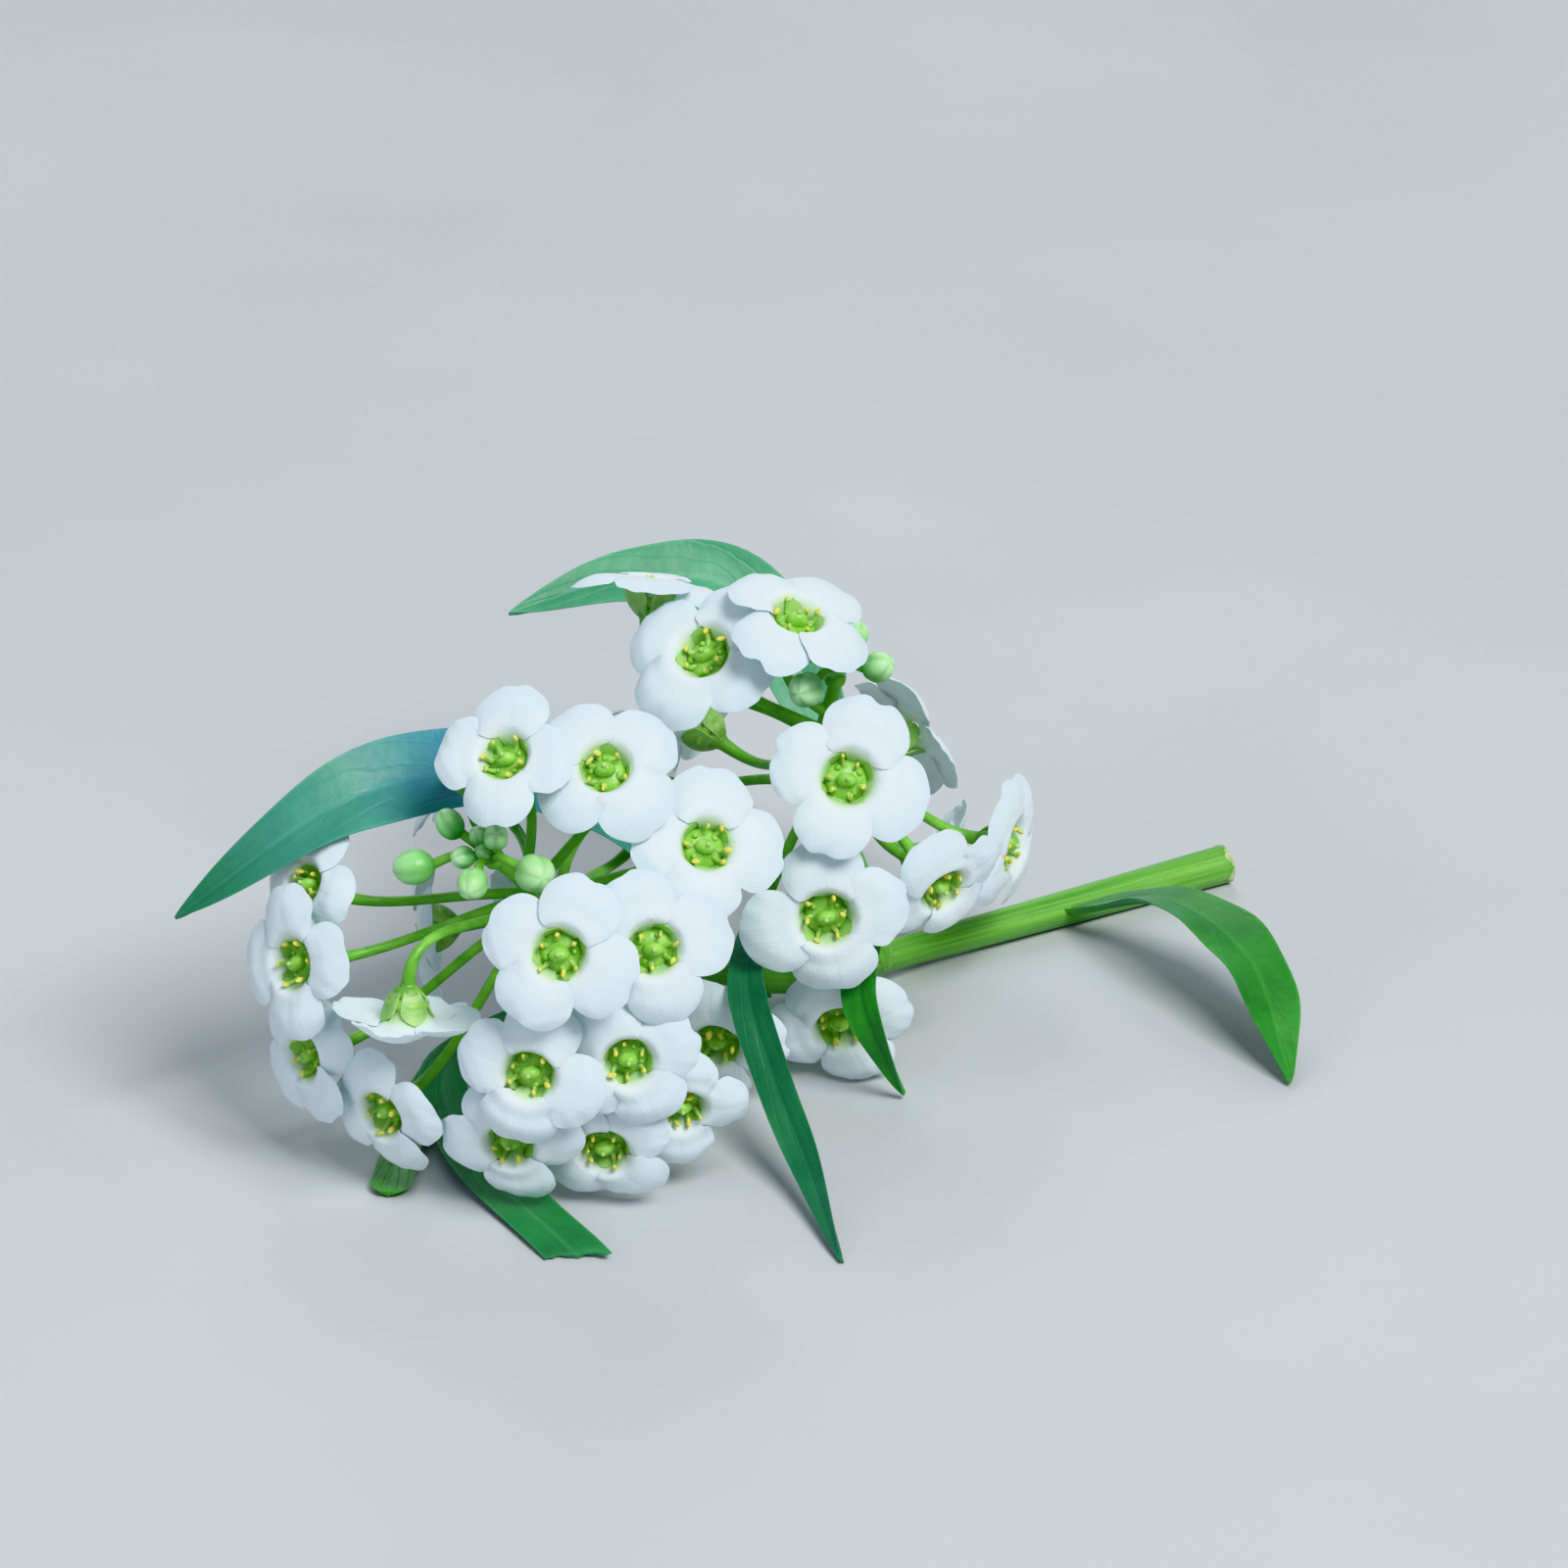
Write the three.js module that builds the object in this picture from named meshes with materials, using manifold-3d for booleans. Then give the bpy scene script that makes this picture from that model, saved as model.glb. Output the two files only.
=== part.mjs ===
// A cut sprig of sweet alyssum (Lobularia maritima) lying on a flat surface.
// One stem forks into two racemes. Each raceme holds open four-petalled flowers on thin
// pedicels round a knot of green buds, and seven narrow leaves stand on the stem.
//
// Frame: millimetres, +Z up, the surface at z = 0. The racemes face -Y, the stem's cut end
// points to +X and +Y. The origin is the middle of the sprig's footprint.

import * as THREE from "three";
import { mergeVertices } from "three/addons/utils/BufferGeometryUtils.js";
import Module from "manifold-3d";

const wasm = await Module();
wasm.setup();

const { Vector3 } = THREE;
const { cos, sin, exp, log1p, sqrt, PI } = Math;
const at = (x, y, z) => new Vector3(x, y, z);

// ---- Driving dimensions, in millimetres and degrees -------------------------------------

const FOOTPRINT_MIDDLE = at(6.63, 4.58, 0.22); // of the layout below: it becomes the origin
const SOFTNESS = 0.35; // how far from the surface a petal or leaf starts to bend along it
const SEAT_GAP = 0.06; // between a piece and the one that carries it
const LEAF_SEAT_GAP = 0.2; // between a leaf's base and the stem

const PETAL_LIMB_RADIUS = 1.45; // of the round blade of a petal
const PETAL_LIMB_OFFSET = 1.55; // of that blade's middle from the flower's middle
const PETAL_THICKNESS = 0.2;
const PETAL_DROOP = 0.3; // how far the petal's tip hangs below its base
const THROAT_RADIUS = 0.95; // of the green middle that the petals surround
const THROAT_RISE = 0.45; // of the pistil and stamens over the petals
const THROAT_DEPTH = 0.3; // of the petals' underside at the middle

const CALYX_RADIUS = 0.85;
const CALYX_LENGTH = 1.1;
const PEDICEL_RADIUS = 0.2;
const PEDICEL_BASE_RADIUS = 0.26;

const STEM_CUT_RADIUS = 0.85;
const STEM_FORK_RADIUS = 0.72;
const AXIS_RADIUS = 0.42; // of a raceme's axis where the flowers leave it
const AXIS_TIP_RADIUS = 0.25;
const RACEME_LENGTH = 8; // of the part of a stalk that carries flowers
const HEART_TO_TIP = 4.6; // from a raceme's heart, where its lower pedicels meet, to its tip
const FACING_TO_AXIS = 0.45; // how much a flower turns towards its raceme's axis
const FACING_TO_LIGHT = at(0, -0.4, 0); // and towards the light

const BUDS = 10; // in a full knot, a golden angle apart from its first bud's bearing on
const BUD_RADII = [0.34, 0.78]; // of the innermost and the outermost bud
const BUD_STALKS = [0.9, 3.5];
const GOLDEN_ANGLE = 137.5;

const STALK_STATIONS = 40;
const STALK_SIDES = 8;
const PEDICEL_SIDES = 5;
const PEDICEL_STATIONS = 5;
const PETAL_STEPS = 5; // round each quarter of a flower
const LEAF_STATIONS = 11;

const PEDICEL_SHOULDER = 0.55; // of the calyx's length: where it is three quarters of its width
const LEAF_THICKNESS = 0.34;
const LEAF_FOLD = 0.14; // how far a leaf's edges stand over its midrib, by its half width
const LEAF_WIDEST = 0.58; // of the way along it
const LEAF_STALK = 0.14; // of the half width, at the base
const BUD_STALK_RADIUS = 0.16;
const BUD_LENGTHENING = 1.2; // a bud's length over its width
const BUD_SPREAD = [12, 76]; // from the raceme's axis, of the innermost and the outermost bud

// Points that feel for a flower's neighbours: rings over its face and stops below its middle.
const FACE_FEELERS = [
  { radius: 0, count: 1, room: 0.6 },
  { radius: 1.35, count: 9, room: 0.34 },
  { radius: 2.62, count: 17, room: 0.3 },
];
const CALYX_FEELERS = [
  { depth: 0.9, room: 0.65 },
  { depth: 1.7, room: 0.4 },
  { depth: 2.4, room: 0.3 },
];
const LEAF_ROOM = 0.36;
const STALK_ROOM = 0.05;
const FACE_SAG = 0.02; // of the face feelers, by their radius squared
const NEIGHBOUR_REACH = 6.6; // between the middles of two flowers that may touch
const OBSTACLE_REACH = 3.6;
const JOSTLES = 160;
const PUSH_SHARE = 0.25; // of an overlap, taken back in one round
const LOWEST_EDGE = -0.45; // of a flower's petals before they settle on the surface
const EDGE_RADIUS = 2.8;

// ---- Layout: the stem, the racemes, their flowers and the leaves ------------------------

// The stem from its cut end to the fork, then up into raceme a.
const STEM = [at(25, 19.5, 0.8), at(19.5, 16.2, 0.85), at(13.5, 12.4, 1.05), at(8.3, 8.2, 1.8)];
const FORK = at(11.6, 11, 1.3);

// Each flower stands in a direction from its raceme's heart: its bearing from +X towards +Y and
// its rise over the horizon, in degrees, and its reach in millimetres. Then come the turn of its
// petals in degrees and its size as a share of the full one. One that is turned aside also has the
// bearing and the rise that it faces.
const RACEMES = {
  a: {
    heart: at(0, 0, 9),
    axis: at(-0.48, -0.5, 0.685).normalize(),
    path: (heart, tip) => [...STEM, at(4.4, 4.4, 4.6), heart, tip],
    firstBud: 295,
    buds: BUDS,
    flowers: [
      [-123, 65, 8.8, 10, 0.9],
      [-67, 63, 8.8, 42, 0.95],
      [-40, 36, 8.6, 75, 0.98],
      [-90, 18, 9.2, 65, 0.98],
      [-66, 16, 8.6, 15, 0.96],
      [-98, -14, 8.9, -20, 0.95],
      [-73, -13, 8.7, 30, 0.9],
      [-100, -36, 9.8, 10, 0.88],
      [-79, -40, 9.4, 45, 0.92],
      [-160, 0, 10.2, 20, 0.96],
      [-133, -9, 8.4, 0, 0.94, -120, -79],
      [-139, -31, 10.4, 15, 0.9],
      [-158, -21, 11, 40, 0.9],
      [-56, -37, 8.8, 0, 0.85],
      [-172, 14, 9.4, 0, 0.8],
      [120, 15, 8.2, 20, 0.95],
      [85, 30, 8.2, 50, 0.95],
      [60, 0, 8.4, 5, 0.9],
      [135, -25, 8.4, 30, 0.95],
      [100, -32, 8.6, 70, 0.92],
    ],
  },
  b: {
    heart: at(9.5, 9.8, 9.6),
    axis: at(0.1, -0.28, 0.96).normalize(),
    path: (heart, tip) => [FORK, at(10.8, 11.2, 4.6), heart, tip],
    firstBud: 0,
    buds: BUDS - 2, // its two outermost have dropped
    flowers: [
      [-144, 51, 8.8, 72, 1.03],
      [-105, 68, 9, 17, 1, -41, 71],
      [167, 49, 9.8, 20, 1, 72, 66],
      [-83, 26, 8.6, 70, 1.03],
      [-89, -9, 9, 10, 1.04],
      [-54, -13, 7.6, 35, 0.94, -60, -25],
      [-86, -42, 9.7, 20, 0.93],
      [-115, -37, 11.6, 0, 0.88],
      [65, -12, 8.4, 10, 0.98],
      [125, -8, 8.6, 35, 0.95],
      [155, -12, 8.4, 60, 0.95],
      [10, -26, 8.2, 25, 0.95],
      [45, -45, 8.8, 50, 0.92],
    ],
  },
};

// Leaves as midribs from the stem to the tip, with the side that faces up at base and tip. Each
// starts on the stem or branch nearest to its first point.
const LEAVES = {
  leaf_over_raceme_a: {
    midrib: [at(6.8, 7, 2.8), at(3.4, 6, 8.2), at(-1.6, 3.4, 13), at(-7.6, 0, 13.8), at(-14.2, -1.8, 9.7)],
    up: [at(0.3, -0.3, 0.9), at(-0.25, -0.75, 0.6)],
    width: 3.7,
  },
  leaf_front_right: {
    midrib: [
      at(10, 9.9, 2.4),
      at(7.4, 5.4, 6.2),
      at(6.7, 0.8, 5.6),
      at(7.7, -2.6, 3.4),
      at(8.9, -5.8, 1.6),
      at(10.1, -10.9, 0.3),
    ],
    up: [at(-0.2, 0.1, 1), at(-0.6, -0.2, 0.8)],
    width: 1.6,
  },
  leaf_small_right: {
    midrib: [
      at(11, 10.6, 3.4),
      at(11.5, 7, 5.3),
      at(11.1, 3.3, 6.1),
      at(10.9, 1.4, 4.6),
      at(12.5, 1.5, 0.35),
    ],
    up: [at(0, -0.2, 1), at(-0.5, -0.8, 0.3)],
    width: 1.6,
  },
  leaf_with_torn_tip: {
    midrib: [at(3.6, 4, 4.8), at(-0.6, 4.4, 2.8), at(-4.4, 1.6, 1.8), at(-3.6, -3, 0.9), at(0.6, -10.5, 0.3)],
    up: [at(0, 0, 1), at(-0.1, -0.2, 1)],
    width: 2.3,
    torn: true,
  },
  leaf_low_left: {
    midrib: [at(7.6, 7.6, 1.8), at(2, 7.2, 1), at(-4, 4.4, 0.6), at(-5.7, -1, 0.45), at(-6.4, -5.9, 0.4)],
    up: [at(0, 0, 1), at(0, 0, 1)],
    width: 1.6,
    torn: true,
  },
  leaf_behind_raceme_b: {
    midrib: [
      at(10.3, 12.2, 2.8),
      at(9.6, 15.6, 8.6),
      at(6.6, 18.4, 13),
      at(2.4, 18.4, 13.7),
      at(-2.3, 17, 12.9),
    ],
    up: [at(0, -0.7, 0.7), at(0, -0.6, 0.8)],
    width: 3.2,
  },
  leaf_low_on_stem: {
    midrib: [at(18.6, 15.4, 1), at(22.6, 11.8, 3.4), at(25.6, 7.6, 3), at(27, 2.6, 0.4)],
    up: [at(-0.3, 0.2, 1), at(0.3, 0.2, 1)],
    width: 3.2,
  },
};

// ---- Materials ---------------------------------------------------------------------------

const finish = (name, color, roughness) =>
  new THREE.MeshStandardMaterial({ name, color, roughness, metalness: 0 });
const PETAL_WHITE = finish("petal_white", 0xeef4f7, 0.55);
const CALYX_GREEN = finish("calyx_green", 0x9ccf57, 0.5);
const STEM_GREEN = finish("stem_green", 0x6fb83f, 0.5);
const BUD_GREEN = finish("bud_green", 0x8fcb52, 0.45);
const LEAF_GREEN = finish("leaf_green", 0x3f9a43, 0.5);

// ---- Shapes ------------------------------------------------------------------------------

function meshGeometry(points, triangles) {
  const geometry = new THREE.BufferGeometry().setFromPoints(points);
  geometry.setIndex(triangles.flat());
  return geometry;
}

// A closed body through rings of equally many points, which turn anticlockwise as seen from
// beyond the last ring. Its first and last rings are closed with a fan.
function loft(rings) {
  const sides = rings[0].length;
  const triangles = [];
  rings.slice(1).forEach((_, k) => {
    for (let i = 0; i < sides; i += 1) {
      const [a, b] = [k * sides + i, k * sides + ((i + 1) % sides)];
      triangles.push([a, b, b + sides], [a, b + sides, a + sides]);
    }
  });
  const last = (rings.length - 1) * sides;
  for (let i = 1; i < sides - 1; i += 1) {
    triangles.push([0, i + 1, i], [last, last + i, last + i + 1]);
  }
  return meshGeometry(rings.flat(), triangles);
}

const circleIn = (centre, x, y, radius, sides) =>
  Array.from({ length: sides }, (_, i) => {
    const turn = (2 * PI * i) / sides;
    return centre.clone().addScaledVector(x, radius * cos(turn)).addScaledVector(y, radius * sin(turn));
  });

// A round stalk along a curve between two stations, with radius(t) for t from 0 to 1.
function stalkBetween({ curve, radius }, first, last) {
  const frames = curve.computeFrenetFrames(STALK_STATIONS, false);
  const rings = [];
  for (let k = first; k <= last; k += 1) {
    const t = k / STALK_STATIONS;
    rings.push(circleIn(curve.getPointAt(t), frames.normals[k], frames.binormals[k], radius(t), STALK_SIDES));
  }
  return loft(rings);
}

// A flower's four petals as one rosette round the middle, facing +Z: its lobes are the
// petals' round blades, and the raised middle stands for the pistil and the stamens.
function rosette() {
  const steps = 4 * PETAL_STEPS;
  const reach = (turn) => {
    const off = (turn % (PI / 2)) - PI / 4; // from the nearest petal's midline
    const across = PETAL_LIMB_OFFSET * sin(off);
    return PETAL_LIMB_OFFSET * cos(off) + sqrt(PETAL_LIMB_RADIUS ** 2 - across ** 2);
  };
  const full = PETAL_LIMB_OFFSET + PETAL_LIMB_RADIUS;
  const circle = (radius, height) =>
    Array.from({ length: steps }, (_, i) => {
      const turn = (2 * PI * i) / steps;
      const r = radius(turn);
      return at(r * cos(turn + PI / 4), r * sin(turn + PI / 4), height(r));
    });
  const droop = (r) => -PETAL_DROOP * (r / full) ** 2;
  const throat = () => THROAT_RADIUS;
  const rings = [
    circle(throat, () => -THROAT_DEPTH),
    circle(reach, (r) => droop(r) - PETAL_THICKNESS),
    circle(reach, droop),
    circle(throat, () => 0.05),
    circle(() => THROAT_RADIUS / 2, () => THROAT_RISE),
  ];
  return loft(rings);
}

// The lanceolate blade's half width at t along its midrib, as a share of the full one.
function leafShare(t, torn) {
  if (torn) return 0.16 + 0.84 * sin(Math.min(1, t / 0.75) * (PI / 2));
  const past = Math.max(0, (t - LEAF_WIDEST) / (1 - LEAF_WIDEST));
  const widening = sin(((Math.min(t, LEAF_WIDEST) / LEAF_WIDEST) * PI) / 2) ** 1.4;
  const narrowing = Math.max(0, cos((past * PI) / 2)) ** 0.8;
  const stalk = LEAF_STALK * (1 - t);
  return Math.max(0.03, stalk + (1 - stalk) * widening * narrowing);
}

// Four-sided sections of a leaf, across its midrib.
function leafSections({ midrib, up, width, torn = false }, stalks) {
  const curve = new THREE.CatmullRomCurve3([seatOnStalk(midrib[0], stalks), ...midrib.slice(1)]);
  return Array.from({ length: LEAF_STATIONS }, (_, k) => {
    const t = k / (LEAF_STATIONS - 1);
    const along = curve.getTangentAt(t);
    const across = along.clone().cross(up[0].clone().lerp(up[1], t)).normalize();
    const over = across.clone().cross(along);
    const half = (width / 2) * leafShare(t, torn);
    const point = (x, z) => curve.getPointAt(t).addScaledVector(across, x).addScaledVector(over, z);
    return [
      point(-half, LEAF_FOLD * half),
      point(0, 0.35 * LEAF_THICKNESS),
      point(half, LEAF_FOLD * half),
      point(0, -0.65 * LEAF_THICKNESS),
    ];
  });
}

// The point beside the nearest stem or branch, on the side of the given point.
function seatOnStalk(point, stalks) {
  const candidates = stalks.flatMap(({ curve, radius }) =>
    Array.from({ length: 101 }, (_, i) => ({ on: curve.getPointAt(i / 100), reach: radius(i / 100) })),
  );
  const nearest = candidates.reduce((a, b) => (b.on.distanceTo(point) < a.on.distanceTo(point) ? b : a));
  const out = point.clone().sub(nearest.on).normalize();
  return nearest.on.clone().addScaledVector(out, nearest.reach + LEAF_SEAT_GAP);
}

// ---- Solids joined with manifold-3d ------------------------------------------------------

function toSolid(geometry) {
  const bare = geometry.clone();
  bare.deleteAttribute("normal");
  bare.deleteAttribute("uv");
  const merged = mergeVertices(bare, 1e-4);
  return new wasm.Manifold(
    new wasm.Mesh({
      numProp: 3,
      vertProperties: merged.attributes.position.array,
      triVerts: new Uint32Array(merged.index.array),
    }),
  );
}

function joined(geometries) {
  const whole = geometries.map(toSolid).reduce((a, b) => a.add(b));
  const { vertProperties, triVerts } = whole.getMesh();
  return new THREE.BufferGeometry()
    .setAttribute("position", new THREE.BufferAttribute(vertProperties, 3))
    .setIndex(new THREE.BufferAttribute(triVerts, 1));
}

// ---- Laying on the surface ---------------------------------------------------------------

// Soft tissue that would reach below the surface lies along it instead.
const restingHeight = (z) => SOFTNESS * log1p(exp(z / SOFTNESS));

// Bends a mesh's geometry, wherever its groups have put it, to lie on the surface.
function settle(mesh) {
  mesh.updateWorldMatrix(true, false);
  const back = mesh.matrixWorld.clone().invert();
  const position = mesh.geometry.getAttribute("position");
  for (let i = 0; i < position.count; i += 1) {
    const p = new Vector3().fromBufferAttribute(position, i).applyMatrix4(mesh.matrixWorld);
    p.z = restingHeight(p.z);
    p.applyMatrix4(back);
    position.setXYZ(i, p.x, p.y, p.z);
  }
}

// ---- The sprig -----------------------------------------------------------------------------

const sprig = new THREE.Group();
sprig.name = "sweet_alyssum_sprig";

function addMesh(parent, name, geometry, material) {
  const mesh = new THREE.Mesh(geometry, material);
  mesh.name = name;
  parent.add(mesh);
  return mesh;
}

const radians = THREE.MathUtils.degToRad;
const bearing = (turn, rise) =>
  at(cos(radians(turn)) * cos(radians(rise)), sin(radians(turn)) * cos(radians(rise)), sin(radians(rise)));

// Where each flower stands and faces before its neighbours push it.
function standing(raceme) {
  const { heart, axis, flowers } = raceme;
  return flowers.map(([turn, rise, reach, roll, size, ...aside]) => {
    const out = bearing(turn, rise);
    const middle = heart.clone().addScaledVector(out, reach);
    const outward = out.addScaledVector(axis, FACING_TO_AXIS).add(FACING_TO_LIGHT).normalize();
    return { raceme, roll, size, middle, facing: aside.length ? bearing(...aside) : outward };
  });
}

// Points spread over a flower, each with the room it needs round it and its arm from the middle.
function feelers({ middle, facing, size }) {
  const aside = at(0.3, 0.5, 0.8).cross(facing).normalize();
  const over = facing.clone().cross(aside);
  const face = FACE_FEELERS.flatMap(({ radius, count, room }) =>
    circleIn(at(0, 0, 0), aside, over, radius * size, count).map((arm) => ({
      arm,
      room,
      point: middle.clone().add(arm).addScaledVector(facing, -FACE_SAG * radius ** 2),
    })),
  );
  const calyx = CALYX_FEELERS.map(({ depth, room }) => ({
    arm: at(0, 0, 0),
    room,
    point: middle.clone().addScaledVector(facing, -depth),
  }));
  return [...face, ...calyx];
}

// Points spread over a leaf.
function leafFeelers(rings) {
  return rings.flatMap((ring, k) => {
    const next = rings[Math.min(k + 1, rings.length - 1)];
    return [0, 1, 2].flatMap((i) => [
      { point: ring[i], room: LEAF_ROOM },
      { point: ring[i].clone().lerp(next[i], 0.5), room: LEAF_ROOM },
    ]);
  });
}

function stalkFeelers({ curve, radius }) {
  const steps = 60;
  return Array.from({ length: steps + 1 }, (_, i) => ({
    point: curve.getPointAt(i / steps),
    room: radius(i / steps) + STALK_ROOM,
  }));
}

// Shifts and tilts a flower away from what one of its arms has run into.
function give(flower, arm, push) {
  flower.middle.addScaledVector(push, 0.5);
  const length = arm.length();
  if (length === 0) return;
  flower.facing.addScaledVector(arm, (-0.6 * push.dot(flower.facing)) / length ** 2).normalize();
}

function pushApart(a, b) {
  const apart = a.point.clone().sub(b.point);
  const short = a.room + b.room - apart.length();
  return short > 0 ? apart.normalize().multiplyScalar(PUSH_SHARE * short) : null;
}

// Flowers that would run through each other or through a leaf shift and tilt until none touch.
function jostle(flowers, obstacles) {
  for (let round = 0; round < JOSTLES; round += 1) {
    const felt = flowers.map(feelers);
    flowers.forEach((one, i) => {
      flowers.slice(i + 1).forEach((other, k) => {
        if (one.middle.distanceTo(other.middle) > NEIGHBOUR_REACH) return;
        for (const a of felt[i]) {
          for (const b of felt[i + 1 + k]) {
            const push = pushApart(a, b);
            if (!push) continue;
            give(one, a.arm, push);
            give(other, b.arm, push.clone().negate());
          }
        }
      });
      const near = obstacles.filter(({ point }) => point.distanceTo(one.middle) < OBSTACLE_REACH);
      for (const a of felt[i]) {
        for (const b of near) {
          const push = pushApart(a, b);
          if (push) give(one, a.arm, push);
        }
      }
      const edge = EDGE_RADIUS * one.size * sqrt(1 - one.facing.z ** 2);
      one.middle.z = Math.max(one.middle.z, edge + LOWEST_EDGE);
    });
  }
  return flowers;
}

// The calyx cup and the pedicel from the raceme's axis, in the flower's own frame.
function calyxAndPedicel(root, rootDirection, size) {
  const top = -THROAT_DEPTH - SEAT_GAP;
  const neck = at(0, 0, top - CALYX_LENGTH);
  const bow = root.distanceTo(neck) * 0.4;
  const curve = new THREE.CubicBezierCurve3(
    root,
    root.clone().addScaledVector(rootDirection, bow),
    neck.clone().addScaledVector(at(0, 0, -1), bow),
    neck,
  );
  const { normals, binormals } = curve.computeFrenetFrames(PEDICEL_STATIONS, false);
  const ring = (centre, k, radius) => circleIn(centre, normals[k], binormals[k], radius, PEDICEL_SIDES);
  const rings = normals.map((_, k) => {
    const t = k / PEDICEL_STATIONS;
    const radius = PEDICEL_BASE_RADIUS + (PEDICEL_RADIUS - PEDICEL_BASE_RADIUS) * Math.min(1, 2 * t);
    return ring(curve.getPointAt(t), k, radius);
  });
  const shoulder = at(0, 0, top - PEDICEL_SHOULDER * CALYX_LENGTH);
  rings.push(ring(shoulder, PEDICEL_STATIONS, 0.75 * CALYX_RADIUS * size));
  rings.push(ring(at(0, 0, top), PEDICEL_STATIONS, CALYX_RADIUS * size));
  return loft(rings);
}

// Adds a flower's petals, and returns its calyx with the pedicel.
function addFlower(name, { raceme, middle, facing, roll, size }) {
  const { axis, heart, stalk } = raceme;
  const level = at(0, 0.05, 1).cross(facing).normalize();
  const flower = new THREE.Group();
  flower.position.copy(middle);
  flower.setRotationFromMatrix(new THREE.Matrix4().makeBasis(level, facing.clone().cross(level), facing));
  flower.rotateZ(radians(roll));
  sprig.add(flower);
  flower.updateWorldMatrix(true, false);
  addMesh(flower, name, rosette().scale(size, size, 1), PETAL_WHITE);

  // The lower a flower stands on its raceme, the further from the tip its pedicel leaves.
  const lowness = middle.clone().sub(heart).angleTo(axis) / PI;
  const t = 1 - (HEART_TO_TIP * (0.2 + 1.5 * lowness)) / stalk.curve.getLength();
  const root = stalk.curve.getPointAt(t);
  const along = stalk.curve.getTangentAt(t);
  const rootDirection = middle.clone().sub(root).projectOnPlane(along).normalize();
  rootDirection.addScaledVector(along, 0.9 - lowness).normalize();

  const inFlower = flower.matrixWorld.clone().invert();
  return calyxAndPedicel(
    root.applyMatrix4(inFlower),
    rootDirection.transformDirection(inFlower),
    size,
  ).applyMatrix4(flower.matrixWorld);
}

// A knot of buds over a raceme's tip: small ones in the middle, larger ones round them.
function budKnot(tip, axis, firstBud, buds) {
  const { lerp } = THREE.MathUtils;
  const upright = new THREE.Quaternion().setFromUnitVectors(at(0, 0, 1), axis);
  const coreRadius = 0.42;
  const core = tip.clone().addScaledVector(axis, 0.85 * coreRadius);
  const parts = [new THREE.IcosahedronGeometry(coreRadius, 1).translate(...core)];
  for (let i = 0; i < buds; i += 1) {
    const share = i / (BUDS - 1);
    const reach = lerp(...BUD_STALKS, share);
    const out = bearing(firstBud + GOLDEN_ANGLE * i, 90 - lerp(...BUD_SPREAD, share));
    out.applyQuaternion(upright);
    const turn = new THREE.Quaternion().setFromUnitVectors(at(0, 1, 0), out);
    const bud = new THREE.SphereGeometry(lerp(...BUD_RADII, share), 6, 4);
    bud.scale(1, BUD_LENGTHENING, 1).translate(0, reach, 0);
    const stalk = new THREE.CylinderGeometry(BUD_STALK_RADIUS, BUD_STALK_RADIUS, reach, 4);
    stalk.translate(0, reach / 2, 0);
    parts.push(...[bud, stalk].map((part) => part.applyQuaternion(turn).translate(...core)));
  }
  return joined(parts);
}

// ---- Assembly ------------------------------------------------------------------------------

for (const [letter, raceme] of Object.entries(RACEMES)) {
  const { heart, axis, path } = raceme;
  raceme.tip = heart.clone().addScaledVector(axis, HEART_TO_TIP);
  const start = letter === "a" ? STEM_CUT_RADIUS : STEM_FORK_RADIUS;
  const narrow = (t) => start + (AXIS_RADIUS - start) * Math.min(1, t / 0.72);
  const radius = (t) => narrow(t) + (AXIS_TIP_RADIUS - AXIS_RADIUS) * Math.max(0, (t - 0.8) / 0.2);
  raceme.stalk = { curve: new THREE.CatmullRomCurve3(path(heart, raceme.tip)), radius };
  const share = 1 - RACEME_LENGTH / raceme.stalk.curve.getLength();
  raceme.firstStation = Math.round(share * STALK_STATIONS);
}
const racemes = Object.entries(RACEMES);
const stalks = racemes.map(([, { stalk }]) => stalk);
const bare = racemes.map(([, { stalk, firstStation }]) => stalkBetween(stalk, 0, firstStation - 1));
addMesh(sprig, "stem", joined(bare), STEM_GREEN);

const obstacles = stalks.flatMap(stalkFeelers);
for (const [name, leaf] of Object.entries(LEAVES)) {
  const sections = leafSections(leaf, stalks);
  obstacles.push(...leafFeelers(sections));
  addMesh(sprig, name, loft(sections), LEAF_GREEN);
}

const flowers = jostle(racemes.flatMap(([, raceme]) => standing(raceme)), obstacles);
for (const [letter, raceme] of racemes) {
  const { stalk, firstStation, tip, axis, firstBud, buds } = raceme;
  const own = flowers.filter((flower) => flower.raceme === raceme);
  const pedicels = own.map((flower, i) =>
    addFlower("petals_" + letter + String(i + 1).padStart(2, "0"), flower),
  );
  const carrier = stalkBetween(stalk, firstStation, STALK_STATIONS);
  addMesh(sprig, "raceme_" + letter, joined([carrier, ...pedicels]), CALYX_GREEN);
  const core = tip.clone().addScaledVector(axis, SEAT_GAP);
  const knot = budKnot(core, axis, firstBud, buds);
  addMesh(sprig, "buds_" + letter, knot, BUD_GREEN);
}

sprig.traverse((piece) => {
  if (piece.isMesh) settle(piece);
});
sprig.position.sub(FOOTPRINT_MIDDLE);

export default sprig;
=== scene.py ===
"""The looks of a cut sprig of sweet alyssum lying on a pale surface.

Shapes are laid out in millimetres in the layout frame of the CAD source, whose curves and leaf
midribs are repeated here. placed() settles a layout point on the surface and moves it to the
row frame in metres. Each open flower takes its place, facing and size from its CAD rosette.
"""

import math

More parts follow.
